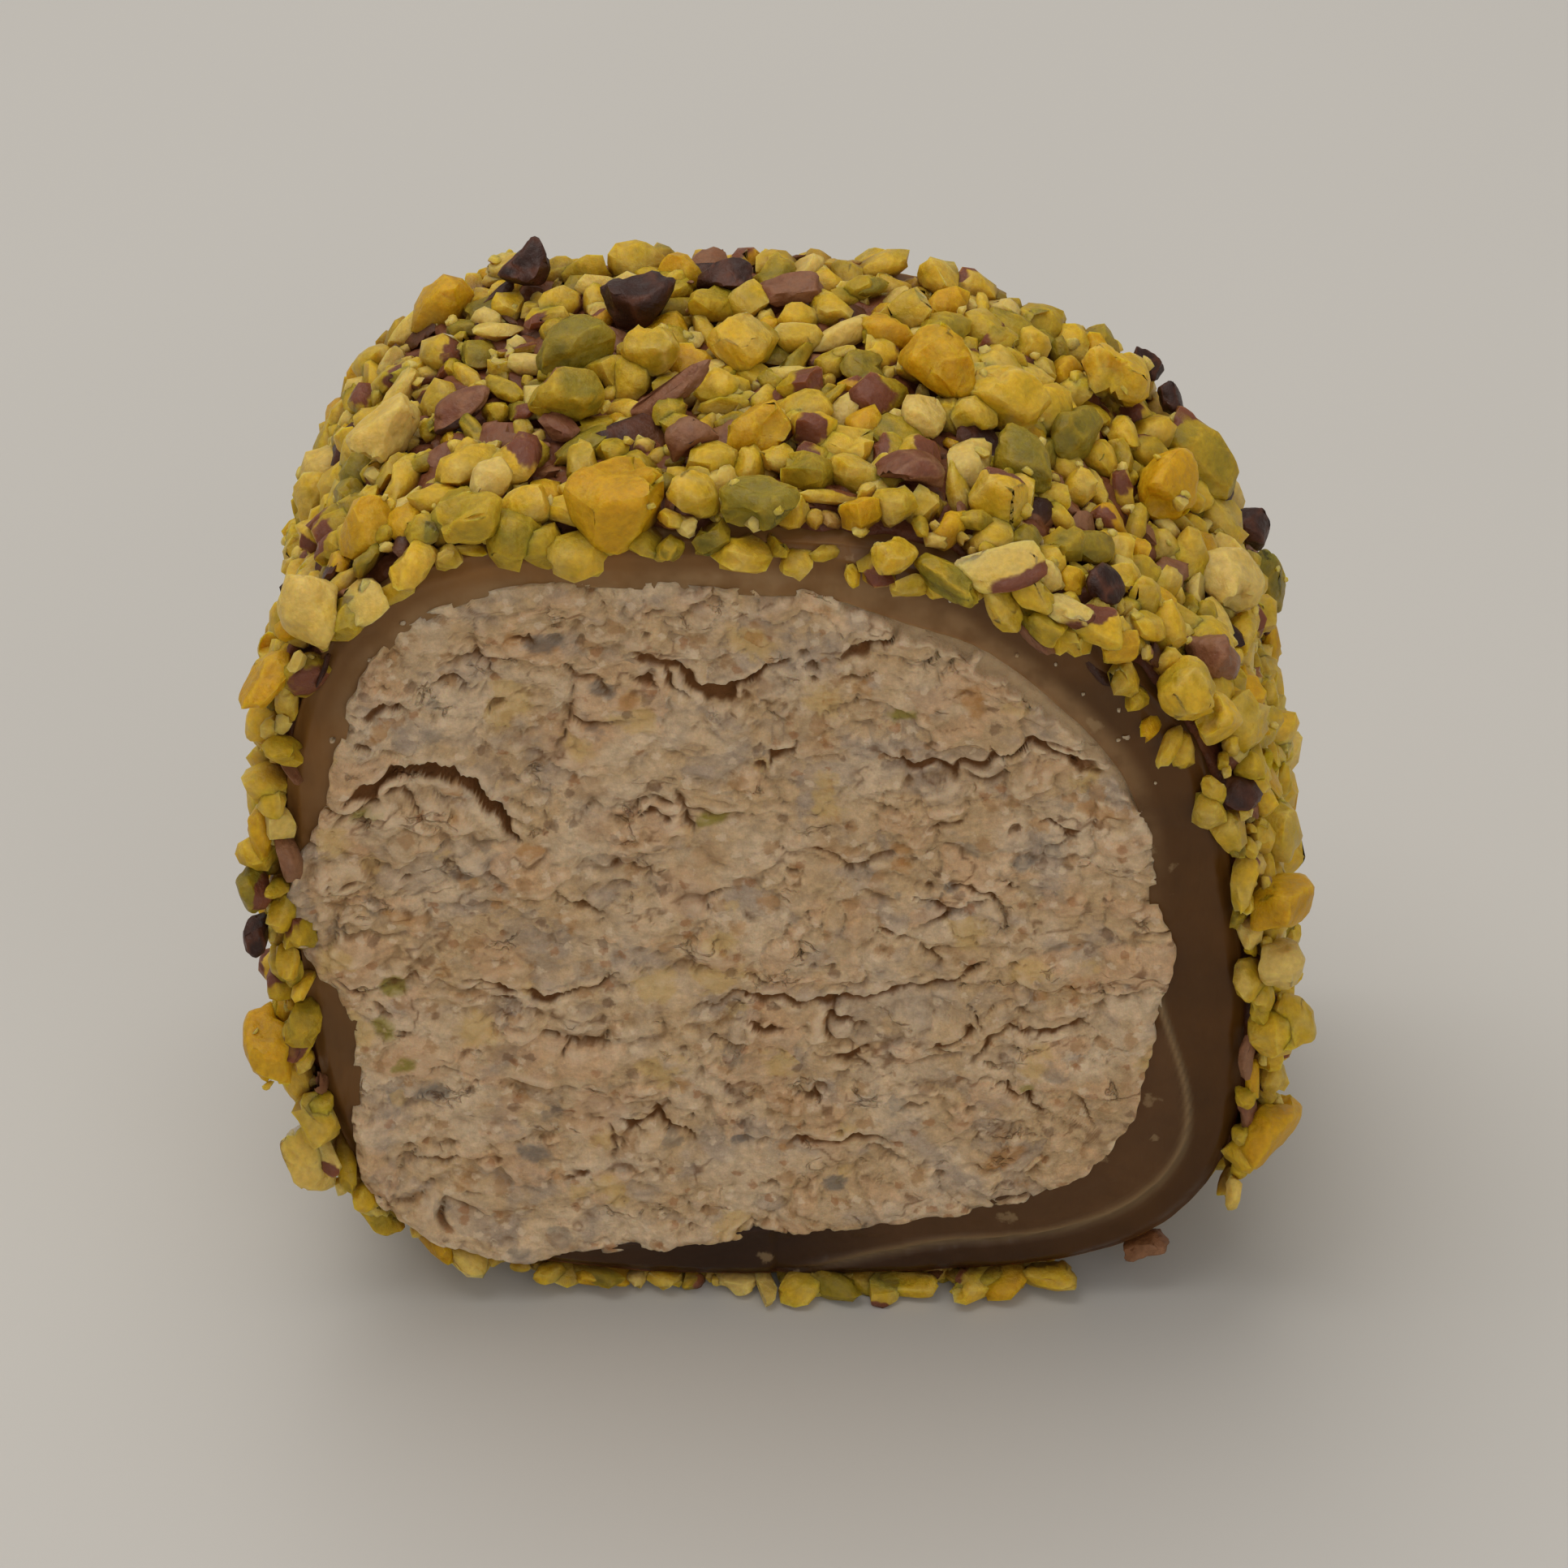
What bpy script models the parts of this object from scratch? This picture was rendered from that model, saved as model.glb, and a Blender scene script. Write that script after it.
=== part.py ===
"""A cut piece of turkish delight roll, lying on its side with a knife cut at each end.

Crumbly pressed halva is rolled up in one sheet of turkish delight, whose ends overlap at the lower
right, and the outside is rolled in chopped pistachios. The roll runs along Y, its best cut faces -Y,
Z is up, and it rests on crushed nuts at z = 0. All lengths are in metres.
"""

import bisect
import math
import random

import bmesh
import bpy
from mathutils import Matrix, Vector, noise

MM = 0.001
NODE_GAP = 0.3 * MM
WELD_DISTANCE = 0.001 * MM

# The sheet of delight that is rolled round the filling
ROLL_LENGTH = 24.0 * MM
WRAP_HALF_WIDTH = 22.6 * MM
WRAP_HALF_HEIGHT = 22.1 * MM
WRAP_LIFT = 1.6 * MM
CENTRE_Z = WRAP_LIFT + WRAP_HALF_HEIGHT
CORNER_SQUARENESS = (2.1, 3.0, 3.8, 3.8)  # upper right, upper left, lower left, lower right
OUTLINE_LOBES = ((16, 13, -0.8), (127, 12, 0.7), (320, 14, 0.3))  # centre and spread in degrees, mm
SHEET_BASE = 1.9 * MM
SHEET_LOBES = ((-38, 26, 3.0), (12, 20, 1.0), (47, 14, 1.0), (178, 10, -1.1), (228, 16, -1.2))
SHEET_LEAST = 0.85 * MM
OUTER_LAYER = 2.0 * MM
OVERLAP_START, OVERLAP_END = -8, -92  # degrees: inner end of the sheet, outer end of the sheet
OVERLAP_TAPER = 0.35  # share of the overlap over which the outer end of the sheet thins out
OVERLAP_TUCK = 0.14  # share of the overlap over which the seam dives to the inner end
OVERLAP_STEP = 4  # degrees between points of the seam
END_BLUNTNESS = 0.25 * MM
WRAP_STEP = 6  # degrees between points of the sheet's outline
CUT_EDGE_ROUNDING = 0.25 * MM

# The filling, its rough cut faces and the fissures between its pressed layers
FACE_CELLS = 20
CRAG_HEIGHT = 1.0 * MM
CRAG_SIZE = 2.9 * MM
CRAG_STRETCH = 1.7
CRUMB_HEIGHT = 0.45 * MM
CRUMB_SIZE = 1.3 * MM
CRUMB_LAYER = 9.0  # how far the crumbs' noise lies from the crags' noise
BACK_LAYER = 40.0  # how far the back cut's noise lies from the front cut's
BROKEN_RIM = (22, 72, 2.2 * MM, 0.9 * MM)  # degrees from and to, width, depth of the flaked rim
# x, z, half length, half width, depth in mm; tilt in degrees; arch in mm
FISSURES = (
    (-15.6, 30.2, 4.6, 0.75, 2.6, -14, -1.6),
    (-2.4, 36.7, 3.6, 0.55, 1.8, -6, 0.9),
    (5.6, 38.2, 2.2, 0.35, 1.0, 22, 0.2),
    (11.6, 32.0, 5.4, 0.32, 1.0, -6, -0.5),
    (-10.8, 18.0, 4.2, 0.34, 1.2, -4, 0.8),
    (2.9, 17.6, 7.2, 0.36, 1.3, 8, 0.6),
    (-5.6, 9.6, 2.4, 0.40, 1.3, -8, -0.9),
    (14.8, 10.8, 1.6, 0.30, 0.9, -64, 0.2),
)
FISSURE_SIDES, FISSURE_RINGS = 6, 6
ARCH_REST = 0.4  # share of an arch by which its middle is set back, so that it bends about its place

# The chopped pistachios
COAT_BED = 0.75 * MM
COAT_STEP = 10  # degrees between points of the bed's outline
NUT_ROWS = 8
NUTS_PER_ROW = 34
NUT_LENGTH = (2.3 * MM, 4.1 * MM)
NUT_LENGTH_MODE = 2.95 * MM
NUT_WIDTH_SHARE = (0.62, 0.92)
NUT_HEIGHT_SHARE = (0.48, 0.74)
NUT_SINK_SHARE = 0.28
NUT_NARROWING = 0.3  # most that a nut's top is narrower than its foot
NUT_TILT = 24  # degrees
CORNER_JITTER = 0.17
NUT_OVERHANG = 0.4 * MM
NUT_SCATTER = 0.24  # share of the gap between nuts by which each is off its place
EDGE_ROW_SCATTER = 0.4  # share of that scatter along the roll that the rows at the cuts have
CRUSHED_BELOW = -0.62  # a nut whose outward normal dips below this lies under the roll
CRUSHED_HEIGHT = 1.5 * MM
CRUSHED_TILT_SHARE = 0.25
SEED = 41
ARC_SAMPLES = 720
FLOOR_CUT = 60 * MM

COLLECTION_NAME = "turkish_delight_roll"


def clear_scene():
    for obj in list(bpy.data.objects):
        bpy.data.objects.remove(obj)


def make_collection(name):
    collection = bpy.data.collections.new(name)
    bpy.context.scene.collection.children.link(collection)
    return collection


def make_material(name, colour, roughness, translucency=0.0):
    """Principled BSDF with the part's colour, roughness and, for the gel, some light scattered inside."""
    material = bpy.data.materials.new(name)
    material.use_nodes = True
    shader = material.node_tree.nodes["Principled BSDF"]
    shader.inputs["Base Color"].default_value = (*colour, 1.0)
    shader.inputs["Roughness"].default_value = roughness
    shader.inputs["Metallic"].default_value = 0.0
    shader.inputs["Subsurface Weight"].default_value = translucency
    shader.inputs["Subsurface Scale"].default_value = MM
    material.diffuse_color = (*colour, 1.0)
    return material


def object_from_bmesh(name, bm, collection):
    mesh = bpy.data.meshes.new(name)
    bm.to_mesh(mesh)
    bm.free()
    obj = bpy.data.objects.new(name, mesh)
    collection.objects.link(obj)
    return obj


def lobes(angle, table):
    """Sum of bell-shaped bumps round the section, in metres; each is (centre, spread, height in mm)."""
    total = 0.0
    for centre, spread, height in table:
        away = (math.degrees(angle) - centre + 180) % 360 - 180
        total += height * MM * math.exp(-0.5 * (away / spread) ** 2)
    return total


def squareness(angle):
    """Exponent of the superellipse, eased from one corner of the section to the next."""
    turn = (angle / (math.pi / 2) - 0.5) % 4
    corner = int(turn)
    share = 0.5 - 0.5 * math.cos(math.pi * (turn - corner))
    return CORNER_SQUARENESS[corner] * (1 - share) + CORNER_SQUARENESS[(corner + 1) % 4] * share


def wrap_radius(angle):
    """Outer radius of the delight: a superellipse, flat underneath and domed on top."""
    power = squareness(angle)
    across = abs(math.cos(angle)) / WRAP_HALF_WIDTH
    up = abs(math.sin(angle)) / WRAP_HALF_HEIGHT
    return (across**power + up**power) ** (-1 / power) + lobes(angle, OUTLINE_LOBES)


def sheet_thickness(angle):
    return max(SHEET_LEAST, SHEET_BASE + lobes(angle, SHEET_LOBES))


def inner_radius(angle):
    """Radius of the hollow in the delight, which the filling takes up."""
    return wrap_radius(angle) - sheet_thickness(angle)


def section_point(angle, radius):
    return Vector((radius * math.cos(angle), 0.0, CENTRE_Z + radius * math.sin(angle)))


def outer_layer_thickness(degrees):
    """Thickness of the layer outside the seam: the whole sheet where the overlap starts, none at its end."""
    share = (degrees - OVERLAP_END) / (OVERLAP_START - OVERLAP_END)
    whole = sheet_thickness(math.radians(degrees)) - NODE_GAP - END_BLUNTNESS
    rise = max(0.0, (share - 1 + OVERLAP_TUCK) / OVERLAP_TUCK)
    swell = OUTER_LAYER * min(1.0, share / OVERLAP_TAPER)
    return END_BLUNTNESS + min(whole, swell) * (1 - rise) + (whole - END_BLUNTNESS) * rise


def seam_radius(degrees):
    return wrap_radius(math.radians(degrees)) - outer_layer_thickness(degrees)


def wrap_outline():
    """Closed outline of the rolled sheet: along its inside from inner end to outer end, and back outside."""
    overlap = list(range(OVERLAP_START, OVERLAP_END - 1, -OVERLAP_STEP))
    turn = list(range(OVERLAP_START, OVERLAP_START - 360, -WRAP_STEP))
    single = [d for d in turn if d < OVERLAP_END]
    inside = [section_point(math.radians(d), inner_radius(math.radians(d))) for d in turn]
    inside += [section_point(math.radians(d), seam_radius(d)) for d in overlap]
    outside = [section_point(math.radians(d), wrap_radius(math.radians(d))) for d in reversed(overlap)]
    outside += [section_point(math.radians(d), wrap_radius(math.radians(d))) for d in reversed(single)]
    under_seam = [
        section_point(math.radians(d), seam_radius(d) - NODE_GAP) for d in reversed(overlap)
    ]
    return inside + outside + under_seam


def section_outline(offset, step):
    """The delight's outer outline moved out by offset, a point every step degrees."""
    angles = [math.radians(d) for d in range(0, 360, step)]
    return [section_point(a, wrap_radius(a) + offset) for a in angles]


def extruded_section(name, outlines, length, collection):
    """Mesh of flat outlines in the XZ plane, filled and extruded along Y about the middle of the roll."""
    curve = bpy.data.curves.new(name, "CURVE")
    curve.dimensions = "2D"
    curve.fill_mode = "BOTH"
    curve.extrude = length / 2
    for points in outlines:
        spline = curve.splines.new("POLY")
        spline.points.add(len(points) - 1)
        spline.use_cyclic_u = True
        for target, point in zip(spline.points, points):
            target.co = (point.x, point.z, 0.0, 1.0)
    guide = bpy.data.objects.new(name + "_outline", curve)
    collection.objects.link(guide)
    guide.rotation_euler.x = math.pi / 2
    bpy.context.view_layer.update()
    mesh = bpy.data.meshes.new_from_object(guide.evaluated_get(bpy.context.evaluated_depsgraph_get()))
    mesh.name = name
    mesh.transform(guide.matrix_world)
    bpy.data.objects.remove(guide)
    bm = bmesh.new()
    bm.from_mesh(mesh)
    bpy.data.meshes.remove(mesh)
    bmesh.ops.remove_doubles(bm, verts=bm.verts, dist=WELD_DISTANCE)
    bmesh.ops.recalc_face_normals(bm, faces=bm.faces)
    return object_from_bmesh(name, bm, collection)


def build_wrap(collection):
    """One sheet of delight rolled round the filling, with the edges of its knife cuts slightly rounded."""
    wrap = extruded_section("delight_wrap", [wrap_outline()], ROLL_LENGTH, collection)
    rounding = wrap.modifiers.new("cut_edges", "BEVEL")
    rounding.width = CUT_EDGE_ROUNDING
    rounding.segments = 1
    rounding.limit_method = "ANGLE"
    rounding.angle_limit = math.radians(60)
    wrap.data.materials.append(make_material("delight_gel", (0.115, 0.070, 0.038), 0.32, 0.4))


def cut_relief(x, z, layer):
    """How far the cut filling stands out at (x, z): crags that run sideways, crumbs, and a flaked rim."""
    stretched = Vector((x / (CRAG_STRETCH * CRAG_SIZE), layer, z / CRAG_SIZE))
    crags = CRAG_HEIGHT * noise.noise(stretched)
    crumbs = CRUMB_HEIGHT * noise.noise(Vector((x / CRUMB_SIZE, layer + CRUMB_LAYER, z / CRUMB_SIZE)))
    angle = math.atan2(z - CENTRE_Z, x)
    first, last, width, depth = BROKEN_RIM
    to_rim = inner_radius(angle) - math.hypot(x, z - CENTRE_Z)
    flaked = first < math.degrees(angle) < last and to_rim < width
    return crags + crumbs - (depth if flaked else 0.0)


def disc_from_square(u, v):
    """Elliptical mapping of a square grid point to the unit disc, which keeps the cells even."""
    return u * math.sqrt(1 - v * v / 2), v * math.sqrt(1 - u * u / 2)


def add_fissure_cutter(name, fissure, side, collection):
    """A thin bent lens that leaves one fissure in a cut face: side is -1 for the front, 1 for the back."""
    x, z, half_length, half_width, depth, tilt, arch = fissure
    bm = bmesh.new()
    bmesh.ops.create_uvsphere(bm, u_segments=FISSURE_SIDES, v_segments=FISSURE_RINGS, radius=1.0)
    bmesh.ops.rotate(bm, verts=bm.verts, matrix=Matrix.Rotation(math.pi / 2, 3, "Y"))
    for vert in bm.verts:
        along, into, across = vert.co
        bend = arch * (along * along - ARCH_REST)
        vert.co = Vector((along * half_length, into * depth, across * half_width + bend)) * MM
    bmesh.ops.rotate(bm, verts=bm.verts, matrix=Matrix.Rotation(-math.radians(tilt), 3, "Y"))
    place = Vector((-side * x * MM, side * ROLL_LENGTH / 2, z * MM))
    bmesh.ops.translate(bm, verts=bm.verts, vec=place)
    cutter = object_from_bmesh(name, bm, collection)
    cutter.hide_render = True
    cutter.display_type = "WIRE"


def build_filling(collection, cutters):
    """Pressed halva: a gridded cut face shaped to the hollow of the wrap, carried back to the other cut."""
    bm = bmesh.new()
    bmesh.ops.create_grid(bm, x_segments=FACE_CELLS, y_segments=FACE_CELLS, size=1.0)
    for vert in bm.verts:
        across, up = disc_from_square(vert.co.x, vert.co.y)
        angle = math.atan2(up, across)
        radius = math.hypot(across, up) * (inner_radius(angle) - NODE_GAP)
        vert.co = section_point(angle, radius) - Vector((0, ROLL_LENGTH / 2, 0))
    front = list(bm.verts)
    made = bmesh.ops.extrude_face_region(bm, geom=list(bm.faces))["geom"]
    back = [item for item in made if isinstance(item, bmesh.types.BMVert)]
    bmesh.ops.translate(bm, verts=back, vec=(0, ROLL_LENGTH, 0))
    for vert in front:
        vert.co.y -= cut_relief(vert.co.x, vert.co.z, 0.0)
    for vert in back:
        vert.co.y += cut_relief(vert.co.x, vert.co.z, BACK_LAYER)
    bmesh.ops.triangulate(bm, faces=bm.faces)
    bmesh.ops.recalc_face_normals(bm, faces=bm.faces)
    filling = object_from_bmesh("halva_filling", bm, collection)
    for number, fissure in enumerate(FISSURES):
        add_fissure_cutter(f"front_fissure_{number}", fissure, -1, cutters)
        add_fissure_cutter(f"back_fissure_{number}", fissure, 1, cutters)
    cut = filling.modifiers.new("fissures", "BOOLEAN")
    cut.operation = "DIFFERENCE"
    cut.operand_type = "COLLECTION"
    cut.collection = cutters
    cut.solver = "MANIFOLD"
    filling.data.materials.append(make_material("pressed_halva", (0.400, 0.300, 0.200), 0.85, 0.1))


class CoatPath:
    """The outline that the nuts lie on, measured by its length so that they spread evenly."""

    def __init__(self, offset):
        self.angles = [2 * math.pi * i / ARC_SAMPLES for i in range(ARC_SAMPLES + 1)]
        self.points = [section_point(a, wrap_radius(a) + offset) for a in self.angles]
        self.lengths = [0.0]
        for before, after in zip(self.points, self.points[1:]):
            self.lengths.append(self.lengths[-1] + (after - before).length)

    def at(self, share):
        """Point and outward normal at this share of the way round."""
        target = (share % 1.0) * self.lengths[-1]
        index = min(bisect.bisect_right(self.lengths, target), ARC_SAMPLES)
        before, after = self.points[index - 1], self.points[index]
        ahead = (after - before).normalized()
        step = target - self.lengths[index - 1]
        return before + ahead * step, Vector((ahead.z, 0.0, -ahead.x))


def add_nut(name, place, normal, draw, collection):
    """One chopped piece: a cube whose corners are pushed about, turned at random and bedded in the coat."""
    length = draw.triangular(*NUT_LENGTH, NUT_LENGTH_MODE)
    width = length * draw.uniform(*NUT_WIDTH_SHARE)
    height = length * draw.uniform(*NUT_HEIGHT_SHARE)
    crushed = normal.z < CRUSHED_BELOW
    if crushed:
        height = CRUSHED_HEIGHT
    bm = bmesh.new()
    bmesh.ops.create_cube(bm, size=1.0)
    for vert in bm.verts:
        jitter = Vector([draw.uniform(-CORNER_JITTER, CORNER_JITTER) for _ in range(3)])
        narrowed = 1.0 - draw.uniform(0.0, NUT_NARROWING) * (vert.co.z > 0)
        vert.co = Vector((vert.co.x * narrowed, vert.co.y * narrowed, vert.co.z)) + jitter
        vert.co = Vector((vert.co.x * length, vert.co.y * width, vert.co.z * height))
    bmesh.ops.triangulate(bm, faces=bm.faces)
    bmesh.ops.recalc_face_normals(bm, faces=bm.faces)
    lean = CRUSHED_TILT_SHARE if crushed else 1.0
    turned = Matrix.Rotation(draw.uniform(0, 2 * math.pi), 3, "Z")
    tipped = Matrix.Rotation(math.radians(draw.uniform(-NUT_TILT, NUT_TILT) * lean), 3, "X")
    outward = normal.to_track_quat("Z", "Y").to_matrix()
    bmesh.ops.rotate(bm, verts=bm.verts, matrix=outward @ tipped @ turned)
    rise = height * (0.5 - NUT_SINK_SHARE)
    bmesh.ops.translate(bm, verts=bm.verts, vec=place + normal * rise)
    object_from_bmesh(name, bm, collection)


def add_nuts(collection):
    """Staggered rows of nuts round the roll, each nut a little off its place."""
    draw = random.Random(SEED)
    path = CoatPath(NODE_GAP + COAT_BED)
    spread = ROLL_LENGTH + 2 * NUT_OVERHANG
    row_gap = (spread - NUT_LENGTH[0]) / (NUT_ROWS - 1)
    for row in range(NUT_ROWS):
        for number in range(NUTS_PER_ROW):
            share = (number + 0.5 * (row % 2) + draw.uniform(-NUT_SCATTER, NUT_SCATTER)) / NUTS_PER_ROW
            inner = 0 < row < NUT_ROWS - 1
            shift = draw.uniform(-NUT_SCATTER, NUT_SCATTER) * row_gap * (1.0 if inner else EDGE_ROW_SCATTER)
            y = -spread / 2 + NUT_LENGTH[0] / 2 + row * row_gap + shift
            place, normal = path.at(share)
            add_nut(f"nut_{row}_{number}", place + Vector((0, y, 0)), normal, draw, collection)


def boolean_result(obj, operation, collection):
    """Mesh of obj after one Boolean with everything in the collection."""
    change = obj.modifiers.new(operation.lower(), "BOOLEAN")
    change.operation = operation
    change.operand_type = "COLLECTION"
    change.collection = collection
    change.solver = "MANIFOLD"
    bpy.context.view_layer.update()
    mesh = bpy.data.meshes.new_from_object(obj.evaluated_get(bpy.context.evaluated_depsgraph_get()))
    obj.modifiers.remove(change)
    obj.data = mesh
    for used in list(collection.objects):
        bpy.data.objects.remove(used)
    bpy.data.collections.remove(collection)


def keep_largest_shell(obj):
    """Fills hollows that fusing sealed and drops loose scraps: only the outer shell of the body stays."""
    bm = bmesh.new()
    bm.from_mesh(obj.data)
    unseen = set(bm.faces)
    shells = []
    while unseen:
        shell, edge = set(), [unseen.pop()]
        while edge:
            face = edge.pop()
            shell.add(face)
            near = {other for side in face.edges for other in side.link_faces} & unseen
            unseen -= near
            edge.extend(near)
        shells.append(shell)
    largest = max(shells, key=len)
    stray = [face for shell in shells if shell is not largest for face in shell]
    bmesh.ops.delete(bm, geom=stray, context="FACES")
    bm.to_mesh(obj.data)
    bm.free()


def build_coat(collection):
    """A thin bed of fine crumbs with the chopped nuts fused on, hollowed out for the delight."""
    bed = [section_outline(NODE_GAP + COAT_BED, COAT_STEP)]
    coat = extruded_section("pistachio_coat", bed, ROLL_LENGTH - 2 * CUT_EDGE_ROUNDING, collection)
    nuts = make_collection("nuts")
    add_nuts(nuts)
    boolean_result(coat, "UNION", nuts)
    cutters = make_collection("floor_and_core")
    bm = bmesh.new()
    bmesh.ops.create_cube(bm, size=FLOOR_CUT)
    bmesh.ops.translate(bm, verts=bm.verts, vec=(0, 0, -FLOOR_CUT / 2))
    object_from_bmesh("below_floor", bm, cutters)
    extruded_section("core", [section_outline(NODE_GAP, COAT_STEP)], 2 * ROLL_LENGTH, cutters)
    boolean_result(coat, "DIFFERENCE", cutters)
    keep_largest_shell(coat)
    coat.data.materials.clear()
    coat.data.materials.append(make_material("chopped_pistachio", (0.430, 0.330, 0.045), 0.6))
    return coat


def centre_on_origin(coat, collections):
    """Slides everything sideways, so that the middle of the coat's box stands over the origin."""
    corners = [Vector(corner) for corner in coat.bound_box]
    lowest = Vector(map(min, *corners))
    highest = Vector(map(max, *corners))
    middle = (lowest + highest) / 2
    for collection in collections:
        for obj in collection.objects:
            obj.location = (-middle.x, -middle.y, 0.0)


def main():
    clear_scene()
    roll = make_collection(COLLECTION_NAME)
    cutters = make_collection("cutters")
    build_wrap(roll)
    build_filling(roll, cutters)
    coat = build_coat(roll)
    centre_on_origin(coat, [roll, cutters])


main()
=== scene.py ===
"""Looks of a cut piece of turkish delight roll: halva rolled in a sheet of delight and in chopped pistachios.

The roll runs along Y with its best cut facing -Y, and rests on crushed nuts at z = 0. Shapes are worked out
in millimetres as numpy arrays and turned into metres when they become meshes.
"""

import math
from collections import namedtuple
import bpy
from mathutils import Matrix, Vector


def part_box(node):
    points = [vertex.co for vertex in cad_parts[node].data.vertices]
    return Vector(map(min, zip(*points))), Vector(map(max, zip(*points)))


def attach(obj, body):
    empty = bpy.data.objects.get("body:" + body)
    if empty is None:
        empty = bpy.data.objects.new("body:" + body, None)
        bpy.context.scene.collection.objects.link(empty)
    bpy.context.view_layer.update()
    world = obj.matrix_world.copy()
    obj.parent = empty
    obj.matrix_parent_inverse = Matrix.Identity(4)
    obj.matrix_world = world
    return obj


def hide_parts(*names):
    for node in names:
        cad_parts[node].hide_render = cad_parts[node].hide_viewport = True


bl_info = {
    "name": "Turkish Delight Roll",
    "version": (1, 0, 0),
    "blender": (4, 5, 0),
    "location": "View3D > Sidebar > Sweets",
    "description": "Dresses a cut piece of delight roll: crumbly filling, gel sheet and chopped nuts",
    "category": "Add Mesh",
}

import bpy
import numpy as np
from mathutils import Matrix, Vector

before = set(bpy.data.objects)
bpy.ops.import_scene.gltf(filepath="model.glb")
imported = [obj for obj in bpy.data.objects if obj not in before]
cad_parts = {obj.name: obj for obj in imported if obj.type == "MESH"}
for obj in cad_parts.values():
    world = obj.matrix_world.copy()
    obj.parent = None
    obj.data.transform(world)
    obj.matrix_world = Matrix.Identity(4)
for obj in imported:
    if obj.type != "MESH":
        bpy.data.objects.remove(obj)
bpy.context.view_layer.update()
MM = 0.001

# The roll's section, in millimetres and degrees, from the CAD node of the sheet
SHEET_LOW, SHEET_HIGH = (np.array(corner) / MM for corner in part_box("delight_wrap"))
HALF_WIDTH = 22.6
HALF_HEIGHT = (SHEET_HIGH[2] - SHEET_LOW[2]) / 2
CENTRE_X = SHEET_LOW[0] + HALF_WIDTH
CENTRE_Z = (SHEET_HIGH[2] + SHEET_LOW[2]) / 2
HALF_LENGTH = (SHEET_HIGH[1] - SHEET_LOW[1]) / 2
CORNER_SQUARENESS = np.array((2.1, 3.0, 3.8, 3.8))  # upper right, upper left, lower left, lower right
OUTLINE_LOBES = np.array(((16, 13, -0.8), (127, 12, 0.7), (320, 14, 0.3)))  # centre, spread, height
SHEET_BASE, SHEET_LEAST = 1.9, 0.85  # the sheet's thickness away from its lobes, and at its thinnest
SHEET_LOBES = np.array(((-38, 26, 3.0), (12, 20, 1.0), (47, 14, 1.0), (178, 10, -1.1), (228, 16, -1.2)))
OUTER_LAYER = 2.0  # thickness of the outer end of the sheet where it laps over the inner one
OVERLAP_START, OVERLAP_END = -8, -92

# The filling's cut
FISSURES = (  # half width, depth, then the points (x, z) that it runs through
    (0.48, 0.95, ((-19.6, 31.0), (-17.8, 32.4), (-16.0, 32.9), (-14.2, 32.5), (-12.6, 30.6), (-11.5, 28.6))),
    (0.32, 0.55, ((-5.6, 39.9), (-3.6, 39.0), (-2.3, 37.4), (-1.2, 37.4), (0.8, 38.8), (1.9, 39.4))),
    (0.28, 0.45, ((3.8, 39.4), (6.3, 40.3), (7.0, 41.4))),
    (0.28, 0.45, ((5.6, 33.8), (9.0, 32.7), (13.0, 34.4), (16.8, 32.2))),
    (0.28, 0.45, ((-15.0, 20.7), (-11.2, 19.0), (-8.9, 19.6), (-7.2, 20.7))),
    (0.26, 0.45, ((-4.1, 18.4), (-1.7, 19.4), (1.5, 19.0), (4.4, 18.9), (8.8, 20.4), (10.5, 21.6))),
    (0.26, 0.45, ((-8.0, 10.4), (-6.2, 12.1), (-4.2, 9.8))),
    (0.26, 0.40, ((0.2, 10.0), (3.6, 10.5), (6.0, 9.9))),
    (0.22, 0.32, ((-19.4, 9.3), (-16.6, 8.7), (-13.8, 9.0))),
    (0.22, 0.36, ((-10.2, 25.8), (-7.8, 24.4))),
    (0.22, 0.32, ((14.3, 13.2), (15.2, 11.4))),
    (0.20, 0.32, ((10.4, 17.6), (13.2, 17.0), (15.4, 18.3))),
    (0.20, 0.32, ((2.2, 28.3), (4.4, 27.2), (6.4, 28.2))),
)
SHORT_CRACKS = 56
CRACK_LENGTH, CRACK_HALF_WIDTH, CRACK_DEPTH = (0.6, 2.8), (0.14, 0.28), (0.16, 0.42)
LUMPS = (  # x, z, radius and height of the rounded lumps that stand out most
    (-17.6, 30.4, 1.0, 0.55),
    (-15.9, 30.7, 1.1, 0.65),
    (-14.3, 30.0, 1.1, 0.60),
    (-16.6, 28.7, 1.2, 0.45),
    (-14.0, 28.0, 1.1, 0.40),
    (-20.2, 26.8, 1.2, 0.60),
    (-19.6, 24.6, 1.1, 0.45),
    (-18.0, 26.2, 1.0, 0.40),
    (-20.0, 22.4, 1.1, 0.45),
    (-1.2, 35.9, 1.2, 0.40),
    (1.0, 37.0, 1.0, 0.40),
    (8.6, 31.2, 1.2, 0.40),
    (12.6, 32.6, 1.1, 0.45),
    (-12.4, 17.6, 1.1, 0.40),
    (-9.6, 18.0, 1.0, 0.40),
    (-1.4, 17.7, 1.1, 0.45),
    (2.6, 17.4, 1.2, 0.40),
    (6.8, 17.6, 1.1, 0.40),
    (-6.0, 10.2, 1.0, 0.35),
)
# Cells of crumb: width, height, how far they rise, depth and half width of their grooves, where those open
CRUMB_SIZES = (
    (4.0, 2.8, 0.28, 0.34, 0.20, 0.26),
    (1.8, 1.4, 0.24, 0.22, 0.16, 0.20),
    (0.85, 0.75, 0.19, 0.07, 0.13, 0.12),
)
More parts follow.
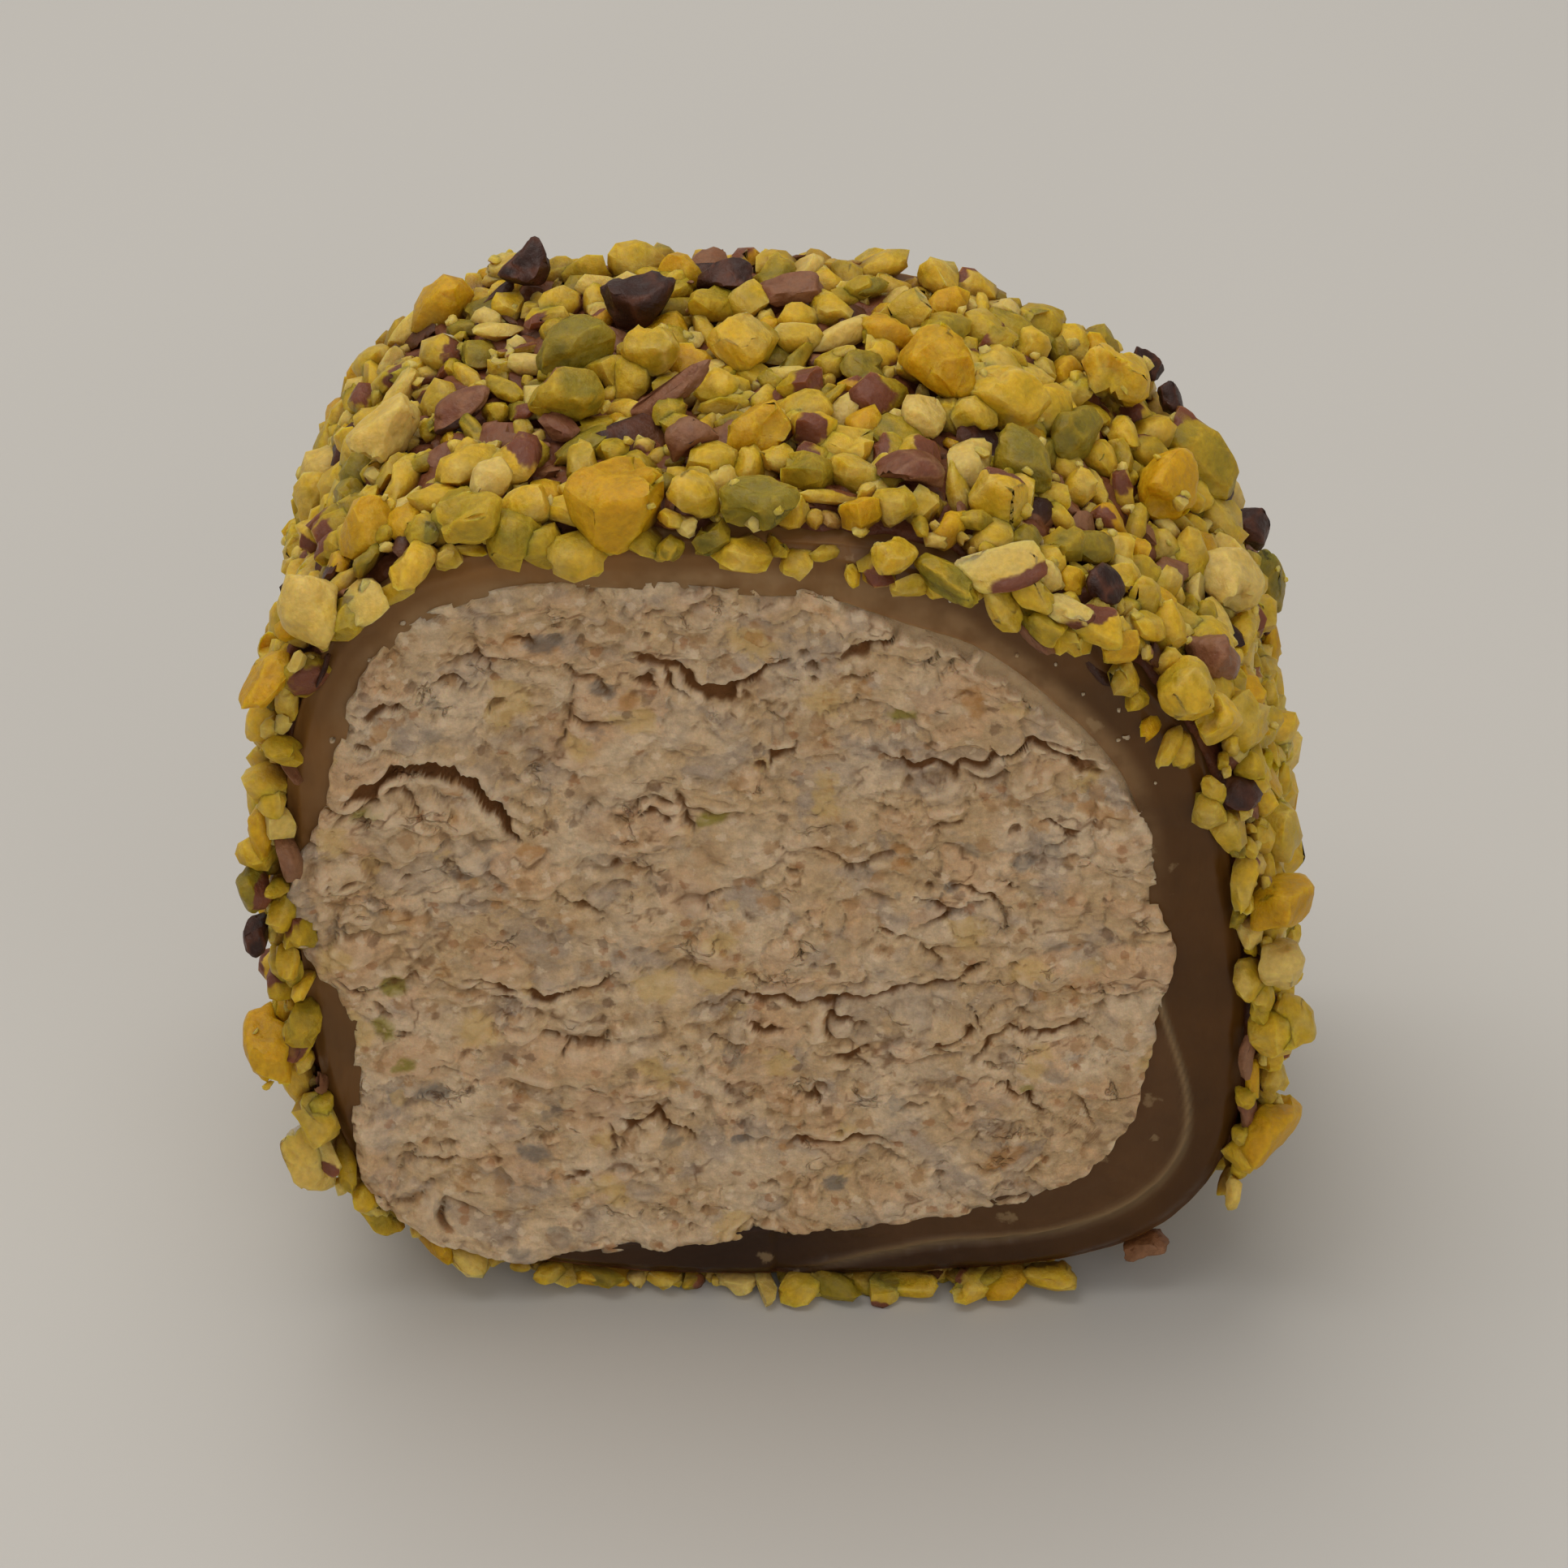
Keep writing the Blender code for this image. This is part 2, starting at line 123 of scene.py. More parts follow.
# Ledges: width and height of the bands, and how far one stands over the next
LEDGES = ((7.5, 3.4, 0.12), (4.4, 2.0, 0.06))
FLAKED_FROM, FLAKED_TO, FLAKED_WIDTH, FLAKED_DEPTH = 16, 84, 1.25, 0.7  # degrees, degrees, mm, mm
SMOOTH_FOOT, SMOOTH_SPREAD = -85, 36  # degrees about which the rim is cut clean, and how far from there
# Where the rim swells over the sheet or shrinks from it: centre and spread in degrees, and by how much
RIM_BULGES = np.array(
    (
        (176, 9, 1.25),
        (160, 10, -0.5),
        (199, 8, -0.9),
        (225, 14, 1.1),
        (280, 20, -0.4),
        (315, 10, -0.3),
        (354, 6, 0.7),
        (69, 7, -0.9),
        (90, 9, -0.5),
    )
)
SHEET_SAG = np.array(((265, 20, 0.45),))
# Painted light on the jelly at the left side: centre, spread in degrees, and strength
SIDE_LIGHT = np.array(((172, 32, 0.85),))
LIT_CENTRE, LIT_RIGHT, LIT_LEFT = 115, 54, 42  # degrees: middle of the painted light on the jelly on top, its reach to each side
FOOT_SHADE_CENTRE, FOOT_SHADE_SPREAD = -92, 46  # degrees: middle of the painted shade on the jelly at the foot, and its reach
SMEAR = np.array(((50, 24, 0.8), (128, 16, 0.8), (91, 9, 0.95)))  # where filling is smeared over the jelly
RING_CRUMBS = ((46, 16, 8), (128, 14, 3))  # centre, spread in degrees, and count
# Bits that the knife cut through: mask, x, z, half length, half height, turn in degrees
CUT_BITS = (
    ("green_bit", 6.8, 36.2, 0.75, 0.40, 12),
    ("green_bit", -18.3, 20.1, 0.70, 0.60, 30),
    ("green_bit", -18.9, 17.5, 0.55, 0.80, 10),
    ("green_bit", -18.1, 15.1, 0.70, 0.45, 35),
    ("green_bit", -2.4, 30.2, 0.95, 0.40, 20),
    ("green_bit", 12.1, 13.7, 0.40, 0.35, 0),
    ("green_bit", -18.6, 30.6, 0.80, 0.35, 25),
    ("amber_bit", -11.0, 28.2, 0.70, 0.45, 0),
    ("amber_bit", 10.0, 37.0, 0.55, 1.05, 5),
    ("amber_bit", 15.7, 30.6, 0.90, 0.50, -20),
    ("amber_bit", 10.8, 9.1, 1.30, 0.60, 35),
    ("amber_bit", -17.6, 24.2, 0.80, 0.40, -30),
    ("amber_bit", 6.4, 28.2, 0.55, 0.35, 0),
    ("amber_bit", -5.9, 37.1, 0.60, 0.45, 40),
    ("slate_bit", -14.3, 27.0, 0.75, 0.50, 20),
    ("slate_bit", -9.6, 40.5, 1.00, 0.55, 10),
    ("slate_bit", -7.1, 37.8, 0.80, 0.40, -20),
    ("slate_bit", -16.9, 13.2, 0.90, 0.45, 10),
    ("slate_bit", -12.2, 9.4, 0.90, 0.60, -30),
    ("slate_bit", 2.5, 7.5, 0.60, 0.45, 0),
    ("slate_bit", 12.1, 27.6, 0.60, 0.40, 20),
    ("slate_bit", 8.7, 26.1, 0.40, 0.30, 0),
    ("slate_bit", -1.9, 10.5, 0.60, 0.30, 10),
)

CAMERA_PLACE = Vector((21.4, -233.28, 202.58)) * MM
CAMERA_AIM = Vector((0.2, -2.0, 24.6)) * MM
CAMERA_ROLL = math.radians(-3.24)
CAMERA_LENS = 138.0
FLOOR_SIZE = 6.0

# Places and sizes of the lamps, in metres, and the tint of their light and of the sky
KEY_PLACE, KEY_SIZE, KEY_TINT = (-0.10, 0.10, 0.55), 0.55, (1.0, 0.965, 0.92)
FILL_PLACE, FILL_SIZE, FILL_TINT = (0.22, -0.55, 0.32), 0.45, (1.0, 0.97, 0.93)
SKY_TINT = (1.0, 0.965, 0.92, 1)

# Seeds of the fixed noise on each surface
FRONT_SEED, BACK_SEED, CRACK_SEED, RING_SEED, SHEET_SEED, BED_SEED = 11, 61, 300, 5, 71, 90


# ---------------------------------------------------------------- section of the roll


def wrapped(degrees):
    """The same angles between -180 and 180 degrees."""
    return (degrees + 180) % 360 - 180


def bells(angle, table):
    """Sum of bell curves round the section, each row a centre and a spread in degrees, and a height."""
    away = wrapped(np.degrees(angle)[..., None] - table[:, 0])
    return (table[:, 2] * np.exp(-0.5 * (away / table[:, 1]) ** 2)).sum(-1)


def section_radius(angle):
    """Outer radius of the sheet: a superellipse whose exponent eases between corners, plus its lobes."""
    turn = (angle / (math.pi / 2) - 0.5) % 4
    corner = turn.astype(int) % 4
    share = 0.5 - 0.5 * np.cos(math.pi * (turn - corner))
    power = CORNER_SQUARENESS[corner] * (1 - share) + CORNER_SQUARENESS[(corner + 1) % 4] * share
    across = np.abs(np.cos(angle)) / HALF_WIDTH
    up = np.abs(np.sin(angle)) / HALF_HEIGHT
    return (across**power + up**power) ** (-1 / power) + bells(angle, OUTLINE_LOBES)


def sheet_thickness(angle):
    return np.maximum(SHEET_LEAST, SHEET_BASE + bells(angle, SHEET_LOBES))


def section_place(angle, radius, y):
    """Points at these angles and radii about the roll's axis, stacked along a last axis of x, y, z."""
    x = CENTRE_X + radius * np.cos(angle)
    z = CENTRE_Z + radius * np.sin(angle)
    return np.stack(np.broadcast_arrays(x, y, z), -1)


class CoatPath:
    """The outline that the nuts lie on, by its length: place, outward normal and angle at any distance."""

    def __init__(self, offset, samples=1440):
        angle = np.linspace(-math.pi, math.pi, samples + 1)
        points = section_place(angle, section_radius(angle) + offset, 0.0)
        step = np.linalg.norm(np.diff(points, axis=0), axis=1)
        ahead = np.gradient(points, axis=0)
        ahead /= np.linalg.norm(ahead, axis=1, keepdims=True)
        self.angle, self.points = angle, points
        self.normals = np.stack([ahead[:, 2], 0 * angle, -ahead[:, 0]], 1)
        self.distance = np.concatenate([[0.0], np.cumsum(step)])
        self.length = self.distance[-1]
        self.bare_from, self.bare_to = (self.distance_at(degrees) for degrees in BARE_CUT[:2])

    def read(self, distance, table):
        return np.stack([np.interp(distance % self.length, self.distance, column) for column in table.T], -1)

    def place(self, distance):
        return self.read(distance, self.points)

    def normal(self, distance):
        found = self.read(distance, self.normals)
        return found / np.linalg.norm(found, axis=-1, keepdims=True)

    def distance_at(self, degrees):
        turned = (np.radians(degrees) + math.pi) % (2 * math.pi) - math.pi
        return np.interp(turned, self.angle, self.distance)

    def is_bare(self, distance, y):
        """Whether a place is in the patch by the front cut that only the listed bits may cover."""
        return self.bare_from < distance < self.bare_to and y < BARE_CUT[2]


# ---------------------------------------------------------------- noise


def scramble(column, row, seed):
    """A fixed random value from 0 to 1 for each whole-number cell, from its multiplied, mixed indices."""
    mixed = column.astype(np.int64) * 374761393 + row.astype(np.int64) * 668265263 + seed * 144269504
    mixed = (mixed & 0xFFFFFFFF).astype(np.uint64)
    mixed = ((mixed ^ (mixed >> np.uint64(13))) * np.uint64(1274126177)) & np.uint64(0xFFFFFFFF)
    mixed ^= mixed >> np.uint64(16)
    return (mixed & np.uint64(0xFFFFFF)).astype(float) / 0xFFFFFF


def ripple(x, y, seed):
    """Smooth noise from -1 to 1: a random slope at each corner of a unit cell, blended by a quintic ease."""
    column, row = np.floor(x), np.floor(y)
    right, up = x - column, y - row
    ease_x = right**3 * (right * (right * 6 - 15) + 10)
    ease_y = up**3 * (up * (up * 6 - 15) + 10)

    def corner(dx, dy):
        turn = 2 * math.pi * scramble(column + dx, row + dy, seed)
        return np.cos(turn) * (right - dx) + np.sin(turn) * (up - dy)

    low = corner(0, 0) * (1 - ease_x) + corner(1, 0) * ease_x
    high = corner(0, 1) * (1 - ease_x) + corner(1, 1) * ease_x
    return 1.4 * (low * (1 - ease_y) + high * ease_y)


def ripples(x, y, seed, octaves=3):
    """Sum of ripple noise, each octave twice as fine and half as high."""
    return sum(ripple(x * 2**i, y * 2**i, seed + 17 * i) / 2**i for i in range(octaves))


def crumb_cells(x, y, seed):
    """Cells about jittered points: distances to the nearest and the next one, and the nearest's value."""
    column, row = np.floor(x), np.floor(y)
    nearest = np.full(x.shape, 9.0)
    second, value = nearest.copy(), np.zeros(x.shape)
    for dx in (-1, 0, 1):
        for dy in (-1, 0, 1):
            left, low = column + dx, row + dy
            away = np.hypot(
                left + 0.1 + 0.8 * scramble(left, low, seed) - x,
                low + 0.1 + 0.8 * scramble(left, low, seed + 5) - y,
            )
            closer = away < nearest
            second = np.where(closer, nearest, np.minimum(second, away))
            value = np.where(closer, scramble(left, low, seed + 9), value)
            nearest = np.where(closer, away, nearest)
    return nearest, second, value


def smooth_step(value, low, high):
    share = np.clip((value - low) / (high - low), 0, 1)
    return share * share * (3 - 2 * share)


# ---------------------------------------------------------------- meshes


def make_piece(name, points, faces, node, slot, material, attributes=None, crease=None):
    """A mesh piece from points in millimetres and blocks of faces; it rides on the root and stands for node.

    It is shaded smooth, apart from edges that bend by more than crease degrees.
    """
    mesh = bpy.data.meshes.new(name)
    blocks = faces if isinstance(faces, list) else [faces]
    corners = [face for block in blocks for face in block.tolist()]
    mesh.from_pydata((np.asarray(points) * MM).tolist(), [], corners)
    for label, values in (attributes or {}).items():
        layer = mesh.attributes.new(label, "FLOAT", "POINT")
        layer.data.foreach_set("value", np.asarray(values, np.float32).ravel())
    mesh.polygons.foreach_set("use_smooth", np.full(len(mesh.polygons), True))
    if crease is not None:
        mesh.set_sharp_from_angle(angle=math.radians(crease))
    mesh.materials.append(material)
    mesh.update()
    piece = bpy.data.objects.new(name, mesh)
    bpy.context.scene.collection.objects.link(piece)
    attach(piece, "root")
    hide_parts(node)
    return piece


def remove_piece(name):
    """Takes away the piece that an earlier run of the same operator left."""
    if name in bpy.data.objects:
        bpy.data.objects.remove(bpy.data.objects[name])


def grid_faces(rows, columns, close_rows=False, close_columns=False, first=0):
    """Quads of a rows by columns grid of points, joined end to start where asked."""
    row = np.arange(rows if close_rows else rows - 1)[:, None]
    column = np.arange(columns if close_columns else columns - 1)[None, :]
    row_after, column_after = (row + 1) % rows, (column + 1) % columns
    corners = [
        row * columns + column,
        row * columns + column_after,
        row_after * columns + column_after,
        row_after * columns + column,
    ]
    return np.stack(np.broadcast_arrays(*corners), -1).reshape(-1, 4) + first


def ring_piece(name, section, angles, **finish):
    """A closed ring: section(angle) gives the radius and y of a closed profile, carried round the roll."""
    radius, y, attributes = section(angles[:, None])
    points = section_place(angles[:, None], radius, y)
    rows, columns = radius.shape
    faces = grid_faces(rows, columns, close_rows=True, close_columns=True)
    attributes = {label: np.broadcast_to(values, radius.shape) for label, values in attributes.items()}
    return make_piece(name, points.reshape(-1, 3), faces, attributes=attributes, **finish)


# ---------------------------------------------------------------- the filling


def distance_to_line(x, z, corners):
    """Distance from each point to a line through the corners, and the share of the line walked by then."""
    best, along, walked = np.full(x.shape, 99.0), np.zeros(x.shape), 0.0
    for (x0, z0), (x1, z1) in zip(corners, corners[1:]):
        span = math.hypot(x1 - x0, z1 - z0)
        share = np.clip(((x - x0) * (x1 - x0) + (z - z0) * (z1 - z0)) / span**2, 0, 1)
        away = np.hypot(x - x0 - share * (x1 - x0), z - z0 - share * (z1 - z0))
        along = np.where(away < best, walked + share * span, along)
        best = np.minimum(best, away)
        walked += span
    return best, along / walked


def short_cracks(seed):
    """Short and nearly level cracks all over the filling, written like the named fissures."""
    draw = np.random.default_rng(seed)
    cracks = []
    for _ in range(SHORT_CRACKS):
        angle = draw.uniform(-math.pi, math.pi, 1)
        reach = math.sqrt(draw.uniform()) * (section_radius(angle) - sheet_thickness(angle) - 1.5)
        x, _, z = section_place(angle, reach, 0.0)[0]
        length, turn = draw.uniform(*CRACK_LENGTH), draw.normal(0, 0.5)
        along = np.linspace(-0.5, 0.5, 4) * length
        across = draw.normal(0, 0.12, 4) * length
        corner_x = x + along * math.cos(turn) - across * math.sin(turn)
        corner_z = z + along * math.sin(turn) + across * math.cos(turn)
        corners = np.stack([corner_x, corner_z], 1).tolist()
        cracks.append((draw.uniform(*CRACK_HALF_WIDTH), draw.uniform(*CRACK_DEPTH), corners))
    return tuple(cracks)


def fissure_depth(x, z, fissures):
    """Depth of the fissures: a rounded trench along each line, tapering to its ends, with ragged sides."""
    depth = np.zeros(x.shape)
    for number, (half_width, deepest, corners) in enumerate(fissures):
        away, along = distance_to_line(x, z, corners)
        taper = np.clip(4 * along * (1 - along), 0, 1) ** 0.35
        ragged = half_width * taper * (1 + 0.6 * ripple(x / 0.7, z / 0.7, CRACK_SEED + number))
        inside = np.clip(1 - (away / np.maximum(ragged, 0.03)) ** 2, 0, 1)
        depth = np.maximum(depth, deepest * taper * inside**1.2)
    return depth


def lump_height(x, z):
    """Height of the named lumps: domes with a steep foot, the highest of those that meet."""
    height = np.zeros(x.shape)
    for centre_x, centre_z, radius, rise in LUMPS:
        share = np.clip(1 - np.hypot(x - centre_x, z - centre_z) ** 2 / radius**2, 0, 1)
        height = np.maximum(height, rise * np.sqrt(share) * smooth_step(share, 0.0, 0.25))
    return height


def cut_relief(x, z, to_rim, angle, seed):
    """How far the broken filling stands out of the cut, and masks for its colours.

    On a low swell lie ledges, where a sideways-stretched noise changes sign. Blocks and crumbs of three sizes
    are warped cells, each with its own height and rounded down to its borders, which open into grooves in
    patches. Then come the named lumps, a few pits, the fissures and short cracks, and along the upper right
    rim a narrow band where the filling flaked away down to a smooth bed.
    """
    warp_x = x + 1.0 * ripple(x / 3.1, z / 3.1, seed) + 0.30 * ripple(x / 0.9, z / 0.9, seed + 1)
    warp_z = z + 1.0 * ripple(x / 3.1, z / 3.1, seed + 2) + 0.30 * ripple(x / 0.9, z / 0.9, seed + 3)
    crumbled = smooth_step(ripples(x / 4.6, z / 3.4, seed + 8), -0.25, 0.45)
    relief = 0.22 * ripples(warp_x / 7.5, warp_z / 4.2, seed + 4)
    grooves, block = np.zeros(x.shape), np.zeros(x.shape)
    for number, (wide, high, rise) in enumerate(LEDGES):
        band = ripple(warp_x / wide, warp_z / high, seed + 40 + number)
        band = band + 0.20 * ripple(x / 0.8, z / 0.7, seed + 48 + number)
        broken = smooth_step(ripple(x / 3.8, z / 2.4, seed + 44 + number), -0.10, 0.40)
        relief = relief + rise * broken * np.tanh(band / 0.08)
        # Under each ledge's step is a groove of painted shade, with no depth of its own
        grooves = np.maximum(grooves, 0.6 * broken * np.exp(-((band / 0.06 + 1.3) ** 2)))
    for number, (wide, high, rise, sunk, border, opens) in enumerate(CRUMB_SIZES):
        nearest, second, value = crumb_cells(warp_x / wide, warp_z / high, seed + 20 + number)
        gap = (second - nearest) * high
        block = block + value * (0.5, 0.35, 0.15)[number]
        patch = ripple(x / (1.3 * wide), z / (1.3 * high), seed + 30 + number)
        opened = smooth_step(patch, opens, opens + 0.35)
        groove = opened * np.exp(-((gap / border) ** 2))
        strength = 1.0 if number == 0 else 0.35 + 0.65 * crumbled
        rounded = 1 - np.exp(-gap / (2.2 * border))
        relief = relief + strength * (rise * (value - 0.5) + 0.55 * rise * (rounded - 1) - sunk * groove)
        grooves = np.maximum(grooves, groove * strength * (0.8 - 0.25 * number))
    nearest, _, value = crumb_cells(warp_x / 1.4, warp_z / 0.8, seed + 9)
    nearest = nearest + 0.25 * ripple(x / 0.4, z / 0.4, seed + 10)
    pits = 0.40 * (value > 0.965) * smooth_step(0.36 - nearest, 0.0, 0.25)
    fissures = fissure_depth(
        x + 0.45 * ripple(x / 1.1, z / 1.1, seed + 11),
        z + 0.45 * ripple(x / 1.1, z / 1.1, seed + 12),
        FISSURES + short_cracks(seed + 18),
    )
    lumps = lump_height(
        x + 0.5 * ripple(x / 1.3, z / 1.3, seed + 15),
        z + 0.5 * ripple(x / 1.3, z / 1.3, seed + 19),
    )
    relief = relief + lumps - pits - fissures + 0.16 * smooth_step(3.2 - to_rim, 0.0, 2.4)
    degrees = np.degrees(angle)
    ragged_edge = FLAKED_WIDTH * (1 + 0.55 * ripple(degrees / 5.0, 0 * degrees, seed + 13))
    ragged_edge = ragged_edge * smooth_step(degrees, FLAKED_FROM, FLAKED_FROM + 14)
    ragged_edge = ragged_edge * (1 - smooth_step(degrees, FLAKED_TO - 16, FLAKED_TO))
    ragged_edge = ragged_edge + 0.55 * ripple(x / 0.8, z / 0.8, seed + 17) * (ragged_edge > 0.3)
    flaked = smooth_step(ragged_edge - to_rim, 0.0, 0.22)
    smooth_bed = 0.15 * ripple(x / 1.3, z / 1.3, seed + 14)
    relief = relief * (1 - flaked) + (smooth_bed - FLAKED_DEPTH + 0.30 * to_rim) * flaked
    broken_rim = smooth_step(0.7 - to_rim, 0.0, 0.7) * (1 - flaked)
    relief -= broken_rim * np.maximum(0, 0.14 + 0.65 * ripple(degrees / 6.0, 0 * degrees, seed + 16))
    relief += smooth_step(3.0 - to_rim, 0.0, 3.0) * np.maximum(0, bells(angle, RIM_BULGES)) * 0.6
    # Painted shade inside fissures, ledge grooves, cell grooves and pits
    crack_shade = np.clip(fissures / 0.48 + grooves + pits * 1.2, 0, 1)
    return relief, {"crack_shade": crack_shade, "flaked": flaked, "crumbled": crumbled * (1 - flaked), "block": block}


def cut_bits(x, z, seed):
    """One mask for each colour of bit: ragged ellipses, solid inside and 0 outside."""
    wobble = 0.35 * ripple(x / 0.5, z / 0.5, seed)
    masks = {name: np.zeros(x.shape) for name in ("green_bit", "amber_bit", "slate_bit")}
    for name, centre_x, centre_z, half_length, half_height, degrees in CUT_BITS:
        turn = math.radians(degrees)
        along = (x - centre_x) * math.cos(turn) + (z - centre_z) * math.sin(turn)
        across = (z - centre_z) * math.cos(turn) - (x - centre_x) * math.sin(turn)
        away = np.hypot(along / half_length, across / half_height) + wobble
        masks[name] = np.maximum(masks[name], smooth_step(1.15 - away, 0.0, 0.4))
    return masks


def crests(relief):
    """How far each grid point stands above the mean of its neighbours a few cells away, as -1 to 1; it drives
    a painted highlight on crests and painted shade in dips.
    """
    around = np.zeros(relief.shape)
    reach = 3
    padded = np.pad(relief, reach, mode="edge")
    rows, columns = relief.shape
    for down in (0, reach, 2 * reach):
        for right in (0, reach, 2 * reach):
            around += padded[down : down + rows, right : right + columns] / 9
    return np.clip((relief - around) / 0.25, -1, 1)


def stitch(front, back):
    """Triangles between two closed loops of points, the first with the more points, walked round together."""
    below = np.arange(len(front)) * len(back) // len(front)
    after, ahead = np.roll(below, -1), np.roll(front, -1)
    turned = after != below
    fans = np.stack([front, back[below], ahead], 1)
    wedges = np.stack([ahead[turned], back[below[turned]], back[after[turned]]], 1)
    return np.concatenate([fans, wedges])


def cut_grid(side, cells, seed, settings):
    """A square grid mapped to the section at one cut: its points, its masks and the loop round its rim."""
    line = np.linspace(-1, 1, cells + 1)
    u, v = np.meshgrid(line, line)
    across, up = u * np.sqrt(1 - v * v / 2), v * np.sqrt(1 - u * u / 2)
    angle, share = np.arctan2(up, across), np.minimum(np.hypot(across, up), 1.0)
    seen_angle = angle if side < 0 else np.arctan2(up, -across)
    degrees = np.degrees(seen_angle)
    ragged = 0.20 * ripple(degrees / 2.4, 0 * degrees, seed)
    ragged = ragged + 0.20 * ripple(degrees / 8.0, 0 * degrees, seed + 1)
    ragged = ragged * (1 - 0.8 * np.exp(-((wrapped(degrees - SMOOTH_FOOT) / SMOOTH_SPREAD) ** 2)))
    rim = section_radius(angle) - sheet_thickness(angle) + ragged + bells(seen_angle, RIM_BULGES)
    place = section_place(angle, share * rim, 0.0)
    x, z = place[..., 0] * -side, CENTRE_Z - side * (place[..., 2] - CENTRE_Z)
    relief, masks = cut_relief(x, z, (1 - share) * rim, seen_angle, seed)
    place[..., 1] = side * (HALF_LENGTH + settings.relief * relief)
    # How far each point stands over its neighbours: drives the painted highlight on crests and painted shade
    # in dips
    masks.update(cut_bits(x, z, seed + 60), crest=crests(relief))
    index = np.arange((cells + 1) ** 2).reshape(cells + 1, cells + 1)
    loop = np.concatenate([index[0, :-1], index[:-1, -1], index[-1, :0:-1], index[:0:-1, 0]])
    return place.reshape(-1, 3), masks, loop


def build_halva(settings, material):
    """The filling: a fine grid fills the best cut, a coarser one the other, and a wall joins their rims."""
    front, back = settings.front_cells, settings.back_cells
    front_points, front_masks, front_loop = cut_grid(-1, front, FRONT_SEED, settings)
    back_points, back_masks, back_loop = cut_grid(1, back, BACK_SEED, settings)
    first = len(front_points)
    faces = [
        grid_faces(front + 1, front + 1),
        grid_faces(back + 1, back + 1, first=first)[:, ::-1],
        stitch(front_loop, back_loop + first),
    ]
    masks = {}
    for label, values in front_masks.items():
        masks[label] = np.concatenate([values.ravel(), back_masks[label].ravel()])
    return make_piece(
        "halva_body",
        np.concatenate([front_points, back_points]),
        faces,
        node="halva_filling",
        slot="pressed_halva",
        material=material,
        attributes=masks,
    )


# ---------------------------------------------------------------- the sheet of delight


def seam_share(angle):
    """Where the seam of the two layers lies, as a share of the thickness from inside; above 1 for none."""
    degrees = wrapped(np.degrees(angle))
    along = (degrees - OVERLAP_END) / (OVERLAP_START - OVERLAP_END)
    thickness = sheet_thickness(angle)
    dive = smooth_step(along, 0.66, 1.0)
    outer = OUTER_LAYER * smooth_step(along, -0.05, 0.30) * (1 - dive) + thickness * dive
    return np.where((along > 0) & (along < 1), 1 - outer / thickness, 2.0)


CUT_POINTS, WALL_POINTS = 29, 5  # points of the profile across a cut and along a wall
TUCKED_IN = 0.35  # how far the sheet reaches in under the filling's rim
SEAM_DEPTH, SEAM_HALF_WIDTH = 0.30, 0.14
EDGE_ROUNDING = 0.42  # how far the cut falls back at the sheet's outer edge


def delight_section(settings):
    """The profile carried round: along the front cut from inside to outside, the outer wall, and back."""
    cut = np.linspace(0, 1, CUT_POINTS)
    wall = np.linspace(-1, 1, WALL_POINTS + 2)[1:-1]

    def section(angle):
        outer, thickness = section_radius(angle), sheet_thickness(angle)
        hidden = TUCKED_IN + np.maximum(0, -bells(angle, RIM_BULGES))
        outer = outer + bells(angle, SHEET_SAG)
        thickness = thickness + bells(angle, SHEET_SAG) + hidden
        degrees = np.degrees(angle)
        seam = np.minimum(1 - (1 - seam_share(angle)) * sheet_thickness(angle) / thickness, 2.0)
        from_seam = (cut - seam) * thickness
        groove = SEAM_DEPTH * np.exp(-((from_seam / SEAM_HALF_WIDTH) ** 2)) * (seam < 1)
        set_back = settings.layer_step * smooth_step(-from_seam, 0.0, 0.5) * (seam < 1)
        rounding = EDGE_ROUNDING * (1 - smooth_step((1 - cut) * thickness, 0.0, 0.75))
        waves = 0.10 * ripples(degrees / 9.0, cut * thickness / 1.8, SHEET_SEED)
        drag = 0.035 * ripple(outer * np.cos(angle) / 0.5, outer * np.sin(angle) / 7.0, SHEET_SEED + 4)
        dip = 0.10 + settings.dish * np.sin(math.pi * cut)
        front = -HALF_LENGTH + groove + set_back + rounding + waves + drag + dip
        back = -front[:, ::-1]
        depth = outer - thickness * (1 - cut)
        radius = np.concatenate([depth, outer + 0 * wall, depth[:, ::-1], outer - thickness + 0 * wall], 1)
        y = np.concatenate([front, HALF_LENGTH * wall + 0 * outer, back, -HALF_LENGTH * wall + 0 * outer], 1)
        from_end = wrapped(degrees - OVERLAP_END)
        inner_layer = (seam < 1) * smooth_step(-from_seam, -0.05, 0.15) * smooth_step(from_end, 0.0, 26.0)
        line = np.exp(-(((from_seam + 0.10) / 0.21) ** 2)) * (seam < 1) * smooth_step(from_end, 0.0, 14.0)
        smeared = smooth_step(hidden + 0.9 - cut * thickness, 0.0, 0.9) * bells(angle, SMEAR)
        none = 0 * wall + 0 * outer
        masks = {}
        for label, values in (("inner_layer", inner_layer), ("seam_line", line), ("smeared", smeared)):
            masks[label] = np.concatenate([values, none, values[:, ::-1], none], 1)
        # Painted light and shade: the jelly is painted lighter on top and at the left side, and darker at the
        # foot
        from_light = wrapped(degrees - LIT_CENTRE)
        lit = np.exp(-((from_light / np.where(from_light < 0, LIT_RIGHT, LIT_LEFT)) ** 2))
        # sunk: painted shade on the jelly at the foot
        sunk = np.exp(-((wrapped(degrees - FOOT_SHADE_CENTRE) / FOOT_SHADE_SPREAD) ** 2))
        lit = np.maximum(lit, bells(angle, SIDE_LIGHT))
        masks["lit"], masks["sunk"] = lit + 0 * radius, sunk + 0 * radius
        return radius, y, masks

    return section


def build_delight(settings, material):
    angles = np.linspace(0, 2 * math.pi, settings.round_steps, endpoint=False)
    return ring_piece(
        "delight_ring",
        delight_section(settings),
        angles,
        node="delight_wrap",
        slot="delight_gel",
        material=material,
    )


